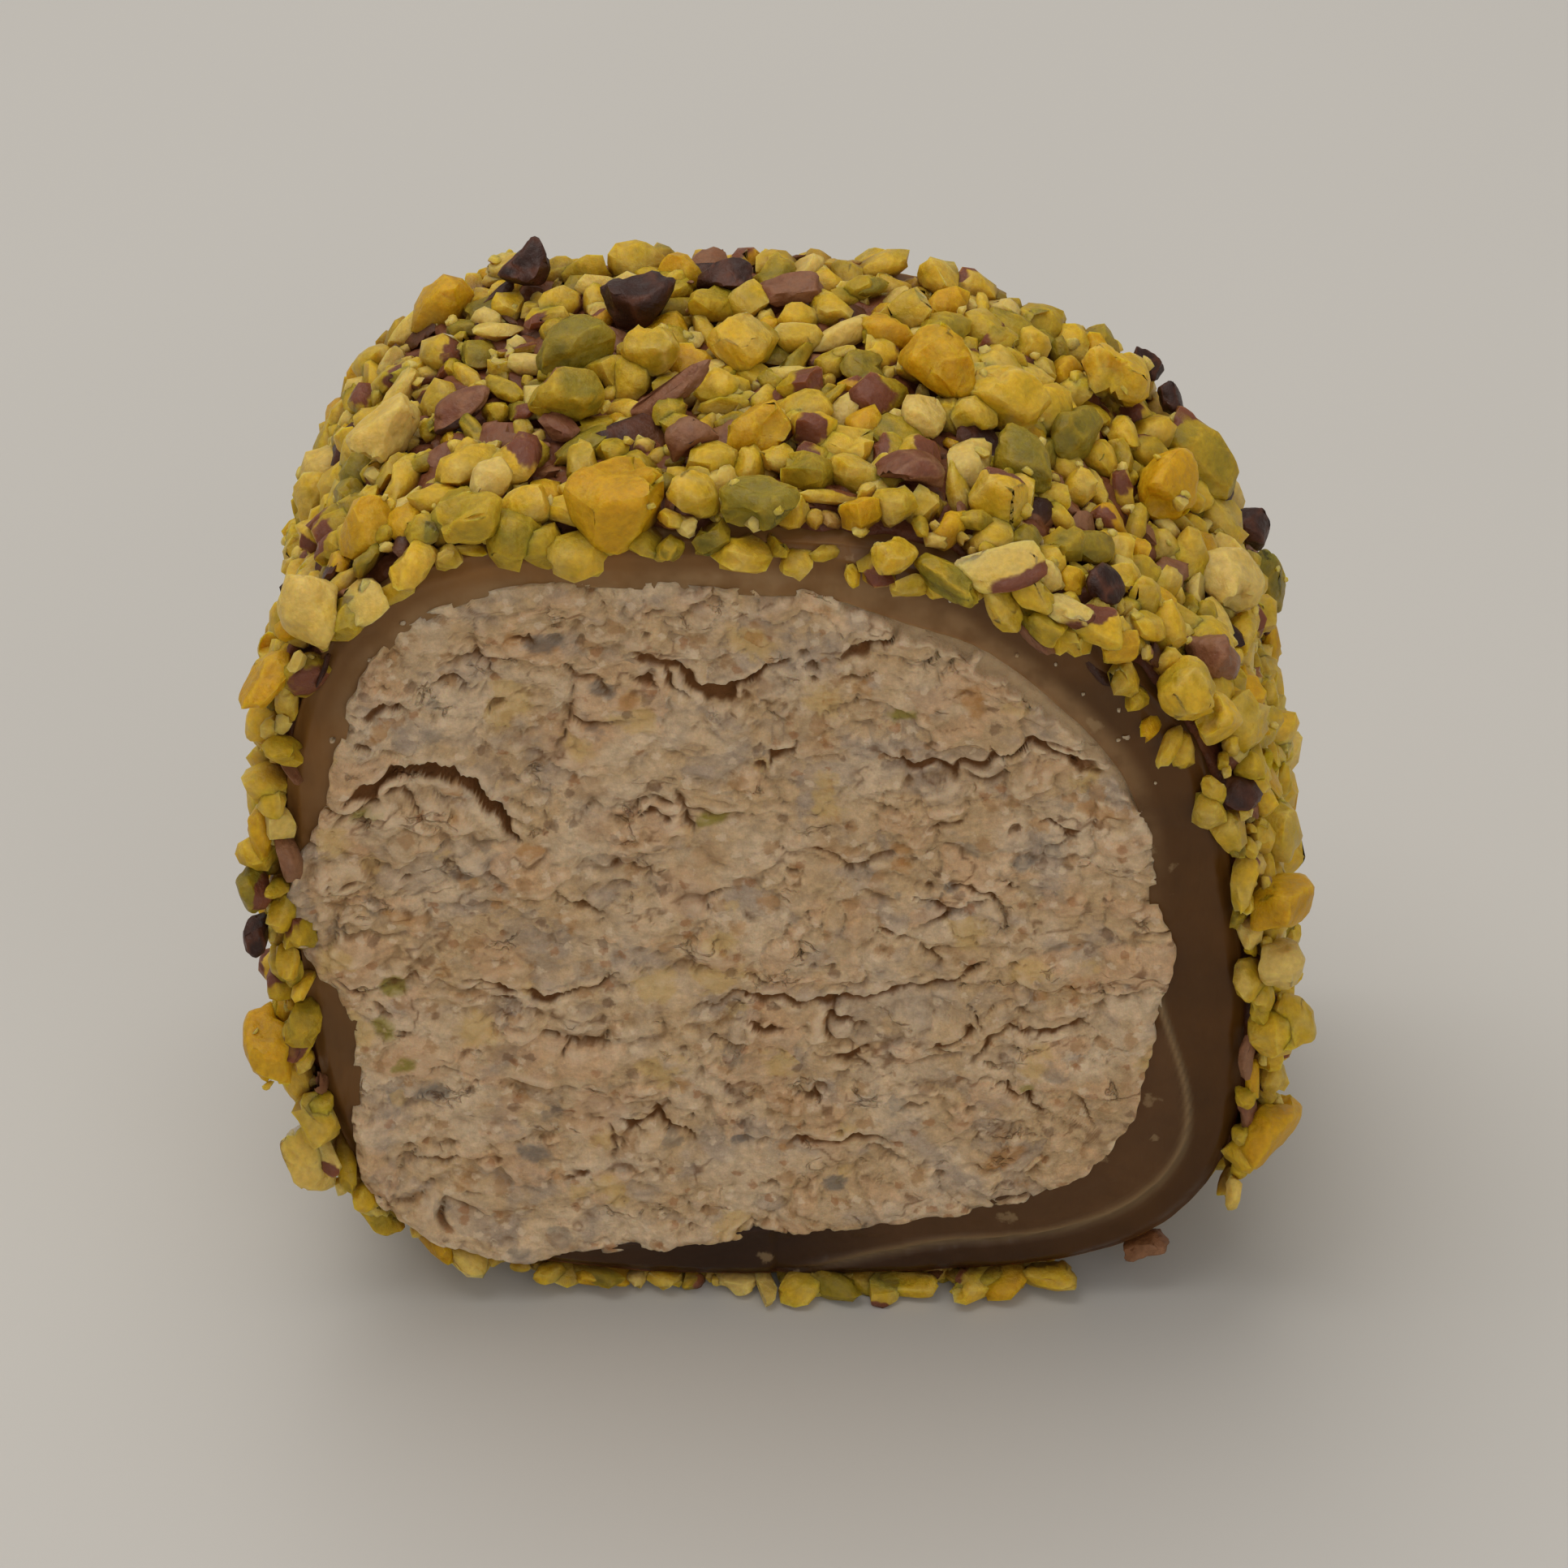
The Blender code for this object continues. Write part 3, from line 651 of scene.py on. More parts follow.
def build_ring_crumbs(settings, material):
    """Crumbs of filling that the knife left on the front of the sheet, half sunk in it."""
    draw = np.random.default_rng(RING_SEED)
    degrees = np.concatenate([draw.normal(*patch) for patch in RING_CRUMBS])
    angle, count = np.radians(degrees), len(degrees)
    radius, y, _ = delight_section(settings)(angle[:, None])
    column = np.minimum(CUT_POINTS - 2, 5 + draw.exponential(5, count).astype(int))
    row = np.arange(count)
    centre = section_place(angle, radius[row, column], y[row, column])
    directions, quads = cube_sphere(2)
    local, _ = broken_bits(directions, count, draw, 8.0)
    length = draw.uniform(0.16, 0.36, (count, 1)) * draw.uniform(1.0, 1.9, (count, 1))
    size = length * draw.uniform(0.6, 1.0, (count, 3))
    points = centre[:, None, :] + local * size[:, None, :] / 2
    faces = quads[None] + (row * len(directions))[:, None, None]
    return make_piece(
        "filling_crumbs",
        points.reshape(-1, 3),
        faces.reshape(-1, 4),
        node="halva_filling",
        slot="pressed_halva",
        material=material,
    )


# ---------------------------------------------------------------- the nut coat


# Broken bits: how crisp their edges are, how many planes cut their corners, and how far one may stand out
CRISPNESS, CORNER_CUTS, LONGEST_CORNER = 9.5, 8, 1.16
BIT_SWELL = 1.13  # bits are this much larger than their rows say, as their corners are cut
SKINNED_SHARE = 0.16  # share of the kernels with a patch of skin
LARGE_CUTS, SMALL_CUTS, CRUMB_CUTS = 8, 3, 2  # cells along an edge of the cube that a bit starts as
BED_SET_BACK = 1.5  # how far the bed's ends lie behind the cuts


def bed_section(settings):
    """Profile of the bed of fine crumbs: its bumpy outside from cut to cut, and back along the delight."""
    rows = settings.bed_rows
    along = np.linspace(-1, 1, rows)
    back_along = np.linspace(1, -1, 4)

    def section(angle):
        outer = section_radius(angle)
        degrees = np.degrees(angle)
        arc = angle * HALF_WIDTH + 0 * along
        ragged = ripples(degrees / 5.0, np.sign(along) * 3 + 0 * degrees, BED_SEED, 2)
        ends = HALF_LENGTH - BED_SET_BACK - 0.6 * ragged
        y = ends * along
        near, _, value = crumb_cells(arc / 0.9, y / 0.9, BED_SEED + 3)
        lumps = 0.55 * (value - 0.35) + 0.5 * (0.5 - near) + 0.3 * ripple(arc / 2.4, y / 2.4, BED_SEED + 5)
        fade = 1 - np.abs(along) ** 14
        radius = outer + 0.05 + np.maximum(0.05, settings.bed_thickness / MM + lumps) * fade
        inside = outer - 0.1 + 0 * back_along
        tone = np.concatenate([value, 0 * inside + 0.5], 1)
        inner_y = ends[:, :1] * np.where(back_along < 0, 1, 0) * back_along
        inner_y = inner_y + ends[:, -1:] * np.where(back_along > 0, 1, 0) * back_along
        return np.concatenate([radius, inside], 1), np.concatenate([y, inner_y * 0.99], 1), {"tone": tone}

    return section


def cube_sphere(cuts):
    """Unit directions over a cube blown up to a sphere, cuts cells along each edge, and its quads."""
    line = np.tan(np.linspace(-1, 1, cuts + 1) * math.pi / 4)
    a, b = (grid.ravel() for grid in np.meshgrid(line, line))
    one = np.ones(a.shape)
    sides = [(one, a, b), (-one, b, a), (b, one, a), (a, -one, b), (a, b, one), (b, a, -one)]
    points = np.concatenate([np.stack(side, 1) for side in sides])
    quads = np.concatenate([grid_faces(cuts + 1, cuts + 1, first=i * (cuts + 1) ** 2) for i in range(6)])
    _, first, merged = np.unique(np.round(points, 6), axis=0, return_index=True, return_inverse=True)
    points = points[first]
    return points / np.linalg.norm(points, axis=1, keepdims=True), merged.reshape(-1)[quads]


def broken_bits(directions, count, draw, crispness=CRISPNESS):
    """Points of each bit about its centre, and how near each is to an edge.

    The six faces of a skewed box and some more planes that cut its corners bound each bit. A ray that runs
    near the meeting of two planes is first moved onto it, so that edges are crisp; a power mean of the planes
    then gives its length. Balls scoop chips out of the sides, and sine lumps roughen the rest.
    """
    box = np.concatenate([np.eye(3), -np.eye(3)])
    corner_normals = draw.normal(size=(count, CORNER_CUTS, 3))
    normals = np.concatenate([np.broadcast_to(box, (count, 6, 3)), corner_normals], 1)
    normals = normals + draw.normal(scale=0.28, size=normals.shape)
    normals /= np.linalg.norm(normals, axis=2, keepdims=True)
    sides, cuts = draw.uniform(0.68, 1.0, (count, 6)), draw.uniform(0.64, 1.15, (count, CORNER_CUTS))
    reach = np.concatenate([sides, cuts], 1)
    planes = normals / reach[:, :, None]
    met = np.einsum("kfc,mc->kfm", planes, directions)
    order = np.argsort(met, axis=1)[:, -2:]
    second, first = np.moveaxis(np.take_along_axis(met, order, 1), 1, 0)
    row = np.arange(count)[:, None]
    across = planes[row, order[:, 1]] - planes[row, order[:, 0]]
    pull = smooth_step(second / first, 0.68, 0.88) * (across * directions).sum(2)
    rays = directions - (pull / (across**2).sum(2))[..., None] * across
    met = np.einsum("kfc,kmc->kfm", planes, rays)
    ordered = np.sort(met, axis=1)
    edge = smooth_step(ordered[:, -2] / ordered[:, -1], 0.86, 1.0)
    stretch = np.linalg.norm(rays, axis=2)
    radius = stretch * (np.maximum(met, 0) ** crispness).sum(1) ** (-1 / crispness)
    rays = rays / stretch[..., None]
    radius = radius * (1 + (radius / LONGEST_CORNER) ** 10) ** -0.1
    for _ in range(3):
        toward = draw.normal(size=(count, 3))
        away, ball = draw.uniform(1.0, 1.4, (count, 1)), draw.uniform(0.30, 0.65, (count, 1))
        toward = toward / np.linalg.norm(toward, axis=1, keepdims=True) * away
        along = np.einsum("kmc,kc->km", rays, toward)
        inside = along**2 - away**2 + ball**2
        scooped = np.maximum(along - np.sqrt(np.maximum(inside, 0)), 0.42)
        radius = np.where((inside > 0) & (along > 0), np.minimum(radius, scooped), radius)
    for frequency, height in ((3.1, 0.12), (6.3, 0.07)):
        phase = draw.uniform(0, 2 * math.pi, (count, 1, 3))
        radius = radius * (1 + height * np.sin(rays * frequency + phase).prod(2))
    return rays * radius[..., None], edge


def turned_frames(normal, turn, tilt, lean):
    """Rotation matrices whose third column is the outward normal, turned about it, then tipped two ways."""
    side = np.stack([normal[:, 2], 0 * turn, -normal[:, 0]], 1)
    along = np.cross(normal, side)
    first = np.cos(turn)[:, None] * side + np.sin(turn)[:, None] * along
    second = np.cross(normal, first)
    base = np.stack([first, second, normal], 2)
    zero, one = 0 * turn, 1 + 0 * turn
    tip_x = np.stack(
        [one, zero, zero, zero, np.cos(tilt), -np.sin(tilt), zero, np.sin(tilt), np.cos(tilt)], 1
    )
    tip_y = np.stack(
        [np.cos(lean), zero, np.sin(lean), zero, one, zero, -np.sin(lean), zero, np.cos(lean)], 1
    )
    return base @ tip_x.reshape(-1, 3, 3) @ tip_y.reshape(-1, 3, 3)


# A bit: its kind, distance along the coat's path, y, lift, sizes, turns, and 1 for one placed one by one
Bit = namedtuple("Bit", "kind distance y lift size turn tilt placed")

# Kinds of nut bit: share of the random ones, width and height as shares of the length, and bend
KINDS = {
    "kernels_yellow": dict(share=0.42, width=(0.62, 0.98), height=(0.50, 0.85), bend=0.0),
    "kernels_golden": dict(share=0.08, width=(0.62, 0.98), height=(0.50, 0.85), bend=0.0),
    "kernels_lime": dict(share=0.20, width=(0.60, 0.90), height=(0.45, 0.75), bend=0.0),
    "kernels_green": dict(share=0.07, width=(0.50, 0.80), height=(0.35, 0.60), bend=0.1),
    "kernels_cream": dict(share=0.12, width=(0.60, 0.95), height=(0.40, 0.75), bend=0.0),
    "skins_mauve": dict(share=0.065, width=(0.45, 0.80), height=(0.14, 0.40), bend=0.5),
    "skins_dark": dict(share=0.055, width=(0.55, 0.85), height=(0.16, 0.45), bend=0.5),
}
# Bits placed one by one: kind, angle in degrees, y, lift, (length, width, height), turn and tilt in degrees
PLACED_BITS = (
    ("kernels_golden", 104, -11.4, 0.9, (4.6, 4.1, 3.4), 20, 12),
    ("skins_dark", 105, 5.0, 1.2, (3.3, 3.0, 2.3), 10, -10),
    ("kernels_green", 111, 1.0, 1.3, (3.3, 2.4, 2.1), 24, 10),
    ("kernels_lime", 111, -3.0, 1.0, (3.1, 2.4, 2.4), 8, 5),
    ("kernels_green", 88, -11.3, 0.8, (3.6, 2.6, 2.0), -5, -8),
    ("skins_dark", 117, 8.6, 1.4, (2.9, 2.0, 1.6), 60, 20),
    ("kernels_cream", 119, 10.3, 0.7, (2.8, 1.5, 0.8), -25, 20),
    ("skins_dark", 95, 7.4, 0.9, (2.7, 1.7, 1.1), -5, 10),
    ("skins_mauve", 87.5, 6.4, 0.9, (3.6, 1.8, 1.1), 5, 10),
    ("skins_mauve", 100, -2.9, 1.8, (4.6, 1.2, 0.8), 32, 25),
    ("kernels_cream", 117, -9.2, 1.3, (2.1, 1.8, 1.5), 40, 15),
    ("kernels_lime", 118.5, -11.8, 0.9, (2.7, 2.5, 2.1), 0, 0),
    ("skins_mauve", 122, -1.6, 0.8, (3.6, 1.7, 0.9), 10, 15),
    ("kernels_cream", 129, -2.3, 1.1, (3.7, 2.7, 2.3), 35, 10),
    ("skins_mauve", 97, -6.4, 1.2, (2.2, 1.9, 1.5), 50, 20),
    ("kernels_golden", 89, -5.7, 1.2, (3.5, 3.1, 2.8), 12, 8),
    ("kernels_yellow", 92.5, 1.5, 1.3, (3.5, 2.8, 2.5), 80, 12),
    ("kernels_yellow", 102, 0.4, 1.2, (2.9, 2.7, 2.3), 30, 0),
    ("kernels_yellow", 95.5, -10.8, 0.9, (2.4, 2.2, 1.7), 70, 12),
    ("kernels_golden", 70.5, 0.1, 1.3, (3.5, 3.3, 3.1), 15, 10),
    ("kernels_yellow", 63, -0.7, 1.2, (4.1, 3.3, 2.6), -15, 8),
    ("kernels_yellow", 50, 6.0, 1.3, (3.7, 3.2, 2.7), 40, 5),
    ("kernels_green", 60.5, -4.7, 1.1, (3.8, 2.1, 1.8), -48, 10),
    ("kernels_lime", 35, 5.8, 1.4, (4.6, 3.2, 1.7), -12, 30),
    ("kernels_golden", 41, 0.8, 1.1, (3.5, 3.0, 2.3), 70, 10),
    ("skins_mauve", 71.5, -8.0, 1.2, (3.1, 2.7, 1.3), 10, -15),
    ("kernels_yellow", 62.5, -8.4, 1.2, (2.8, 2.6, 2.3), 10, 0),
    ("kernels_cream", 61, -12.4, 0.5, (4.6, 2.0, 0.8), 25, 20),
    ("kernels_yellow", 57, -12.6, 0.1, (2.3, 1.7, 1.5), -28, 12),
    ("kernels_cream", 52.5, -12.7, 0.1, (2.2, 1.6, 1.3), 20, 12),
    ("kernels_lime", 66, -12.8, -0.9, (3.0, 1.8, 1.3), -25, 15),
    ("kernels_yellow", 59.5, -12.9, -1.0, (2.8, 1.7, 1.3), -35, 15),
    ("kernels_lime", 54, -12.8, -1.0, (2.7, 1.8, 1.3), -40, 10),
    ("kernels_yellow", 73, -12.8, -0.5, (2.4, 1.6, 1.2), 15, 10),
    ("kernels_yellow", 48.5, -12.5, 0.2, (2.4, 1.9, 1.5), -10, 12),
    ("kernels_golden", 45, -12.6, 0.1, (1.9, 1.5, 1.3), 40, 12),
    ("skins_dark", 44, 10.0, 1.3, (2.0, 1.5, 1.0), 20, 20),
    ("skins_dark", 40.5, 8.5, 1.3, (2.2, 1.7, 1.1), 50, 15),
    ("skins_dark", 21.5, 8.1, 1.2, (2.6, 2.1, 1.2), 30, 15),
    ("skins_dark", 49, -9.8, 0.7, (2.4, 1.9, 1.2), 75, 0),
    ("kernels_yellow", 35, -12.4, 0.5, (2.9, 2.8, 2.4), 0, 0),
    ("kernels_yellow", 31, -11.9, 0.6, (2.9, 2.4, 2.3), 60, 0),
    ("skins_mauve", 32.5, -8.4, 1.0, (2.6, 2.5, 2.0), 40, 0),
    ("kernels_cream", 29.5, -1.4, 1.2, (3.4, 3.2, 2.5), 30, 0),
    ("kernels_green", 53.5, 0.3, 0.8, (3.3, 2.4, 1.7), 70, 10),
    ("kernels_green", 12, 9.0, 1.2, (3.2, 2.2, 1.1), 15, 20),
    ("kernels_cream", 137, -12.0, 0.6, (3.3, 2.8, 2.4), 60, 0),
    ("kernels_golden", 147, -11.6, 0.8, (3.8, 2.6, 1.4), 75, 25),
    ("kernels_green", 174, -12.0, 0.7, (2.7, 2.2, 1.6), 80, 0),
    ("skins_dark", 181, -11.9, 0.8, (2.3, 1.6, 1.2), 70, 0),
    ("kernels_golden", 198, -12.0, 0.8, (4.0, 3.4, 2.4), 60, 15),
    ("kernels_cream", 212, -12.0, 0.5, (3.7, 3.0, 2.2), 45, 0),
    ("kernels_lime", 222, -11.8, 0.5, (3.2, 2.4, 1.8), 20, 0),
    ("kernels_golden", -29, -12.0, 0.6, (4.9, 2.9, 2.2), 85, 0),
    ("kernels_golden", 3, -11.9, 0.7, (3.9, 2.8, 2.5), 80, 10),
    ("kernels_cream", -5, -12.0, 0.6, (2.5, 2.4, 2.1), 30, 0),
    ("kernels_yellow", -14, -11.9, 0.8, (3.2, 2.6, 2.2), 60, 0),
    ("skins_mauve", -50, -11.6, 0.5, (2.6, 1.7, 1.0), 20, 0),
    ("kernels_yellow", -60, -12.2, 0.2, (3.4, 1.8, 1.0), 10, 0),
    ("kernels_lime", -67, -12.3, 0.2, (3.2, 1.7, 0.9), -8, 0),
    ("kernels_yellow", -76, -12.3, 0.2, (3.6, 1.8, 1.0), 6, 0),
    ("kernels_yellow", -86, -12.2, 0.2, (3.0, 1.6, 0.9), -12, 0),
    ("kernels_cream", -97, -12.0, 0.2, (2.8, 1.6, 0.9), 15, 0),
    ("kernels_golden", -112, -12.0, 0.2, (3.2, 1.7, 1.0), -10, 0),
)
SIZE_STEPS = ((2.6, 3.3, 420), (2.0, 2.6, 5000), (1.4, 2.0, 10000), (0.9, 1.4, 8000))  # least, most, tries
SLIVERS = 0.25  # share of the random bits that are slivers
UPPER_BITS, LOWER_SKINS, PERCHED_CRUMBS = 240, 200, 180  # counts of those over, under and on the others
CLOSENESS = 0.27  # how near two bits may lie, as a share of their lengths added up
BARE_CUT = (-60, -38, -8.0)  # degrees from and to, and the y in front of which the coat is bare
EDGE_LENGTHS = (1.4, 2.9)  # least and most length of the bits at the cuts
FOOT, FOOT_SHARE = (-135, -45), 0.4  # degrees between which few bits stand at the cut, and the share kept
# How far the bits at the cut hang over the sheet: centre and spread in degrees, and mm
OVERHANG = np.array(((52, 26, 1.4), (100, 26, 0.5), (2, 20, 0.45), (178, 24, 0.45)))
OVERHANG_LEAST = 0.25
COAT_LOBES = np.array(((180, 30, -0.35), (95, 40, -0.25)))  # where random bits lie deeper, and how much
CRUSHED_BELOW, CRUSHED_HEIGHT = -0.62, 1.3  # upright part of the normal below which bits lie crushed
LEAN_SPREAD = 16  # degrees that bits lean at random
NUT_CREASE = 58  # degrees past which an edge of a bit is sharp
FURTHEST = np.array((26.2, 14.1, 49.4))  # x, y and z that no bit passes


class BitDraw:
    """Draws random bits of the listed kinds by their shares."""

    def __init__(self, draw, kinds):
        self.draw, self.kinds, self.names = draw, kinds, list(kinds)
        weights = np.array([kinds[name]["share"] for name in self.names])
        self.weights = weights / weights.sum()

    def bit(self, least, most, kind=None):
        """A kind, and a size as length, width and height; some are slivers."""
        kind = kind or self.names[self.draw.choice(len(self.names), p=self.weights)]
        length = self.draw.uniform(least, most)
        width = length * self.draw.uniform(*self.kinds[kind]["width"])
        height = length * self.draw.uniform(*self.kinds[kind]["height"])
        if self.draw.uniform() < SLIVERS:
            length, width, height = length * 1.25, width * 0.55, height * 0.6
        return kind, (length, width, height)


def edge_rows(draw, bits, path):
    """Bits along both edges of the coat, which hang over the cut sheet, with only a few at the foot."""
    rows = []
    for end in (-1, 1):
        distance = 0.0
        while distance < path.length:
            kind, size = bits.bit(*EDGE_LENGTHS)
            angle = np.interp(distance, path.distance, path.angle)
            degrees = math.degrees(angle)
            y = end * (HALF_LENGTH + draw.uniform(-0.5, 0.65))
            lift = draw.uniform(-0.3, 0.7) - OVERHANG_LEAST - bells(angle, OVERHANG)
            spin, tip, kept = draw.uniform(0, 360), draw.normal(0, 30), draw.uniform()
            if not path.is_bare(distance, y) and (kept < FOOT_SHARE or not FOOT[0] < degrees < FOOT[1]):
                rows.append(Bit(kind, distance, y, lift, size, spin, tip, 0))
            distance += size[0] * draw.uniform(0.45, 0.85)
    return rows


def place_bits(draw, path, kinds):
    """Seeded dart throwing, large bits first: each keeps clear of the others by a share of their sizes."""
    bits = BitDraw(draw, kinds)
    rows = []
    for kind, degrees, y, lift, size, turn, tilt in PLACED_BITS:
        rows.append(Bit(kind, float(path.distance_at(degrees)), y, lift, size, turn, tilt, 1))
    rows += edge_rows(draw, bits, path)
    taken = np.array([(row.distance, row.y, max(row.size[:2])) for row in rows])
    for least, most, tries in SIZE_STEPS:
        for _ in range(tries):
            kind, size = bits.bit(least, most)
            distance = draw.uniform(0, path.length)
            y = draw.uniform(-1, 1) * (HALF_LENGTH + 0.5 - size[0] * 0.25)
            lift = 0.06 * size[0] + draw.uniform(0.0, 0.55)
            spin, tip = draw.uniform(0, 360), draw.normal(0, 24)
            if path.is_bare(distance, y):
                continue
            round_way = np.abs(taken[:, 0] - distance)
            round_way = np.minimum(round_way, path.length - round_way)
            if np.any(np.hypot(round_way, taken[:, 1] - y) < CLOSENESS * (taken[:, 2] + size[0])):
                continue
            taken = np.vstack([taken, (distance, y, size[0])])
            rows.append(Bit(kind, distance, y, lift, size, spin, tip, 0))
    for count, (least, most), (low, high), kinds_used in (
        (UPPER_BITS, (1.2, 2.4), (0.6, 1.1), (None,)),
        (LOWER_SKINS, (1.4, 2.6), (-0.35, 0.05), ("skins_mauve", "skins_dark")),
    ):
        for number in range(count):
            kind, size = bits.bit(least, most, kinds_used[number % len(kinds_used)])
            distance, y = draw.uniform(0, path.length), draw.uniform(-1, 1) * (HALF_LENGTH - 1.3)
            if path.is_bare(distance, y):
                continue
            lift, spin, tip = draw.uniform(low, high), draw.uniform(0, 360), draw.normal(0, 26)
            rows.append(Bit(kind, distance, y, lift, size, spin, tip, 0))
    return rows


def bit_meshes(rows, bend, path, draw, cuts):
    """Points, quads and masks of all bits of one kind, worked out together as arrays."""
    directions, quads = cube_sphere(cuts)
    count = len(rows)
    distance, y, placed, lift, size, turn, tilt = (
        np.array([getattr(row, field) for row in rows], float)
        for field in ("distance", "y", "placed", "lift", "size", "turn", "tilt")
    )
    normal, place = path.normal(distance), path.place(distance)
    crushed = normal[:, 2] < CRUSHED_BELOW
    size[:, 2] = np.where(crushed, np.minimum(size[:, 2], CRUSHED_HEIGHT), size[:, 2])
    angle = np.interp(distance % path.length, path.distance, path.angle)
    sunk = (1 - placed) * (bells(angle, COAT_LOBES) - 0.7 * smooth_step(y, 5.0, 13.0))
    lift = (lift + sunk) * np.where(crushed, 0.3, 1.0)
    turn, tilt = np.radians(turn), np.radians(tilt) * np.where(crushed, 0.2, 1.0)
    lean = np.radians(draw.normal(0, LEAN_SPREAD, count)) * np.where(crushed, 0.2, 1.0)
    local, edge = broken_bits(directions, count, draw)
    local[..., 2] += bend * (local[..., 0] ** 2 - 0.3) * draw.choice([-1, 1], (count, 1))
    local = local * size[:, None, :] / 2 * BIT_SWELL
    points = np.einsum("kij,kmj->kmi", turned_frames(normal, turn, tilt, lean), local)
    centre = place + normal * (lift + 0.25 * size[:, 2])[:, None]
    centre[:, 1] += y * np.where(crushed, 0.94, 1.0)
    points += centre[:, None, :]
    points -= np.maximum(0, points.max(1, keepdims=True) - FURTHEST)
    points[..., :2] += np.maximum(0, -FURTHEST[:2] - points[..., :2].min(1, keepdims=True))
    points[..., 2] = np.maximum(points[..., 2], 0.0)
    outward = points - place[:, None, :]
    outward[..., 1] = 0
    # low: how near a point lies to the bed, where a syrup stain and painted shade darken the bit
    low = smooth_step(1.0 - (outward * normal[:, None, :]).sum(2), 0.0, 1.3)
    low = low * smooth_step(HALF_LENGTH + 0.2 - np.abs(points[..., 1]), 0.0, 1.2)
    ways = draw.normal(size=(2, count, 3))
    ways /= np.linalg.norm(ways, axis=2, keepdims=True)
    tone = draw.uniform(0, 1, (count, 1)) + 0.45 * (ways[0] @ directions.T)
    skinned = (draw.uniform(0, 1, (count, 1)) < SKINNED_SHARE) * 1.0
    skin = smooth_step(ways[1] @ directions.T, 0.35, 0.75) * skinned
    faces = (quads[None] + (np.arange(count) * len(directions))[:, None, None]).reshape(-1, 4)
    return points.reshape(-1, 3), faces, {"tone": tone, "edge": edge, "skin": skin, "low": low}


def join_meshes(parts):
    """One set of points, faces and masks from several."""
    points, faces, masks, first = [], [], {}, 0
    for part_points, part_faces, part_masks in parts:
        points.append(part_points)
        faces.append(part_faces + first)
        first += len(part_points)
        for label, values in part_masks.items():
            masks.setdefault(label, []).append(np.asarray(values).ravel())
    return np.concatenate(points), np.concatenate(faces), {k: np.concatenate(v) for k, v in masks.items()}


def build_bits(settings, materials):
    """One piece for each kind of nut bit: a fine grid for the listed ones, a coarse one for the rest."""
    draw = np.random.default_rng(settings.seed)
    path = CoatPath(settings.bed_thickness / MM)
    rows = place_bits(draw, path, KINDS)
    all_points = []
    for name, kind in KINDS.items():
        mine = [row for row in rows if row.kind == name]
        large = [row for row in mine if row.placed]
        small = [row for row in mine if not row.placed]
        parts = [
            bit_meshes(large, kind["bend"], path, draw, LARGE_CUTS),
            bit_meshes(small, kind["bend"], path, draw, SMALL_CUTS),
        ]
        points, faces, masks = join_meshes(parts)
        if name.startswith("kernels"):
            all_points.append(points)
        add_nuts(name, points, faces, masks, materials[name])
    return np.concatenate(all_points)


def add_nuts(name, points, faces, masks, material):
    make_piece(
        name,
        points,
        faces,
        node="pistachio_coat",
        slot="chopped_pistachio",
        material=material,
        attributes=masks,
        crease=NUT_CREASE,
    )


def perched_rows(draw, path, points):
    """Crumbs half sunk in the faces of larger bits, at random points that lie well outside the bed."""
    picked = points[draw.integers(0, len(points), 4 * PERCHED_CRUMBS)]
    span = np.linalg.norm(picked[:, None, ::2] - path.points[None, ::4, ::2], axis=2)
    nearest = 4 * span.argmin(1)
    height = ((picked - path.points[nearest]) * path.normals[nearest])[:, ::2].sum(1)
    chosen = np.flatnonzero((height > 0.8) & (np.abs(picked[:, 1]) < HALF_LENGTH + 1.2))[:PERCHED_CRUMBS]
    rows = []
    for index in chosen:
        length = draw.uniform(0.4, 0.95)
        size = (length, length * draw.uniform(0.5, 0.95), length * draw.uniform(0.4, 0.8))
        sunk = height[index] - 0.25 * size[2]
        spin, tip = draw.uniform(0, 360), draw.normal(0, 30)
        distance = path.distance[nearest[index]]
        rows.append(Bit("", distance, picked[index, 1], sunk, size, spin, tip, 1))
    return rows


def build_crumbs(settings, material, points):
    """Fine broken nut between the larger bits and on them, a few dozen triangles each."""
    draw = np.random.default_rng(settings.seed + 1)
    path = CoatPath(settings.bed_thickness / MM)
    rows = perched_rows(draw, path, points)
    for _ in range(settings.crumb_count):
        length = draw.uniform(0.5, 1.25)
        y = draw.uniform(-1, 1) * (HALF_LENGTH + 0.1)
        size = (length, length * draw.uniform(0.6, 0.95), length * draw.uniform(0.5, 0.85))
        distance = draw.uniform(0, path.length)
        if path.is_bare(distance, y):
            continue
        lift, spin, tip = draw.uniform(-0.1, 0.7), draw.uniform(0, 360), draw.normal(0, 25)
        rows.append(Bit("", distance, y, lift, size, spin, tip, 0))
    add_nuts("nut_crumbs", *bit_meshes(rows, 0.0, path, draw, CRUMB_CUTS), material)


def build_bed(settings, material):
    angles = np.linspace(0, 2 * math.pi, settings.bed_columns, endpoint=False)
    return ring_piece(
        "crumb_bed",
        bed_section(settings),
        angles,
        node="pistachio_coat",
        slot="chopped_pistachio",
        material=material,
    )


# ---------------------------------------------------------------- materials


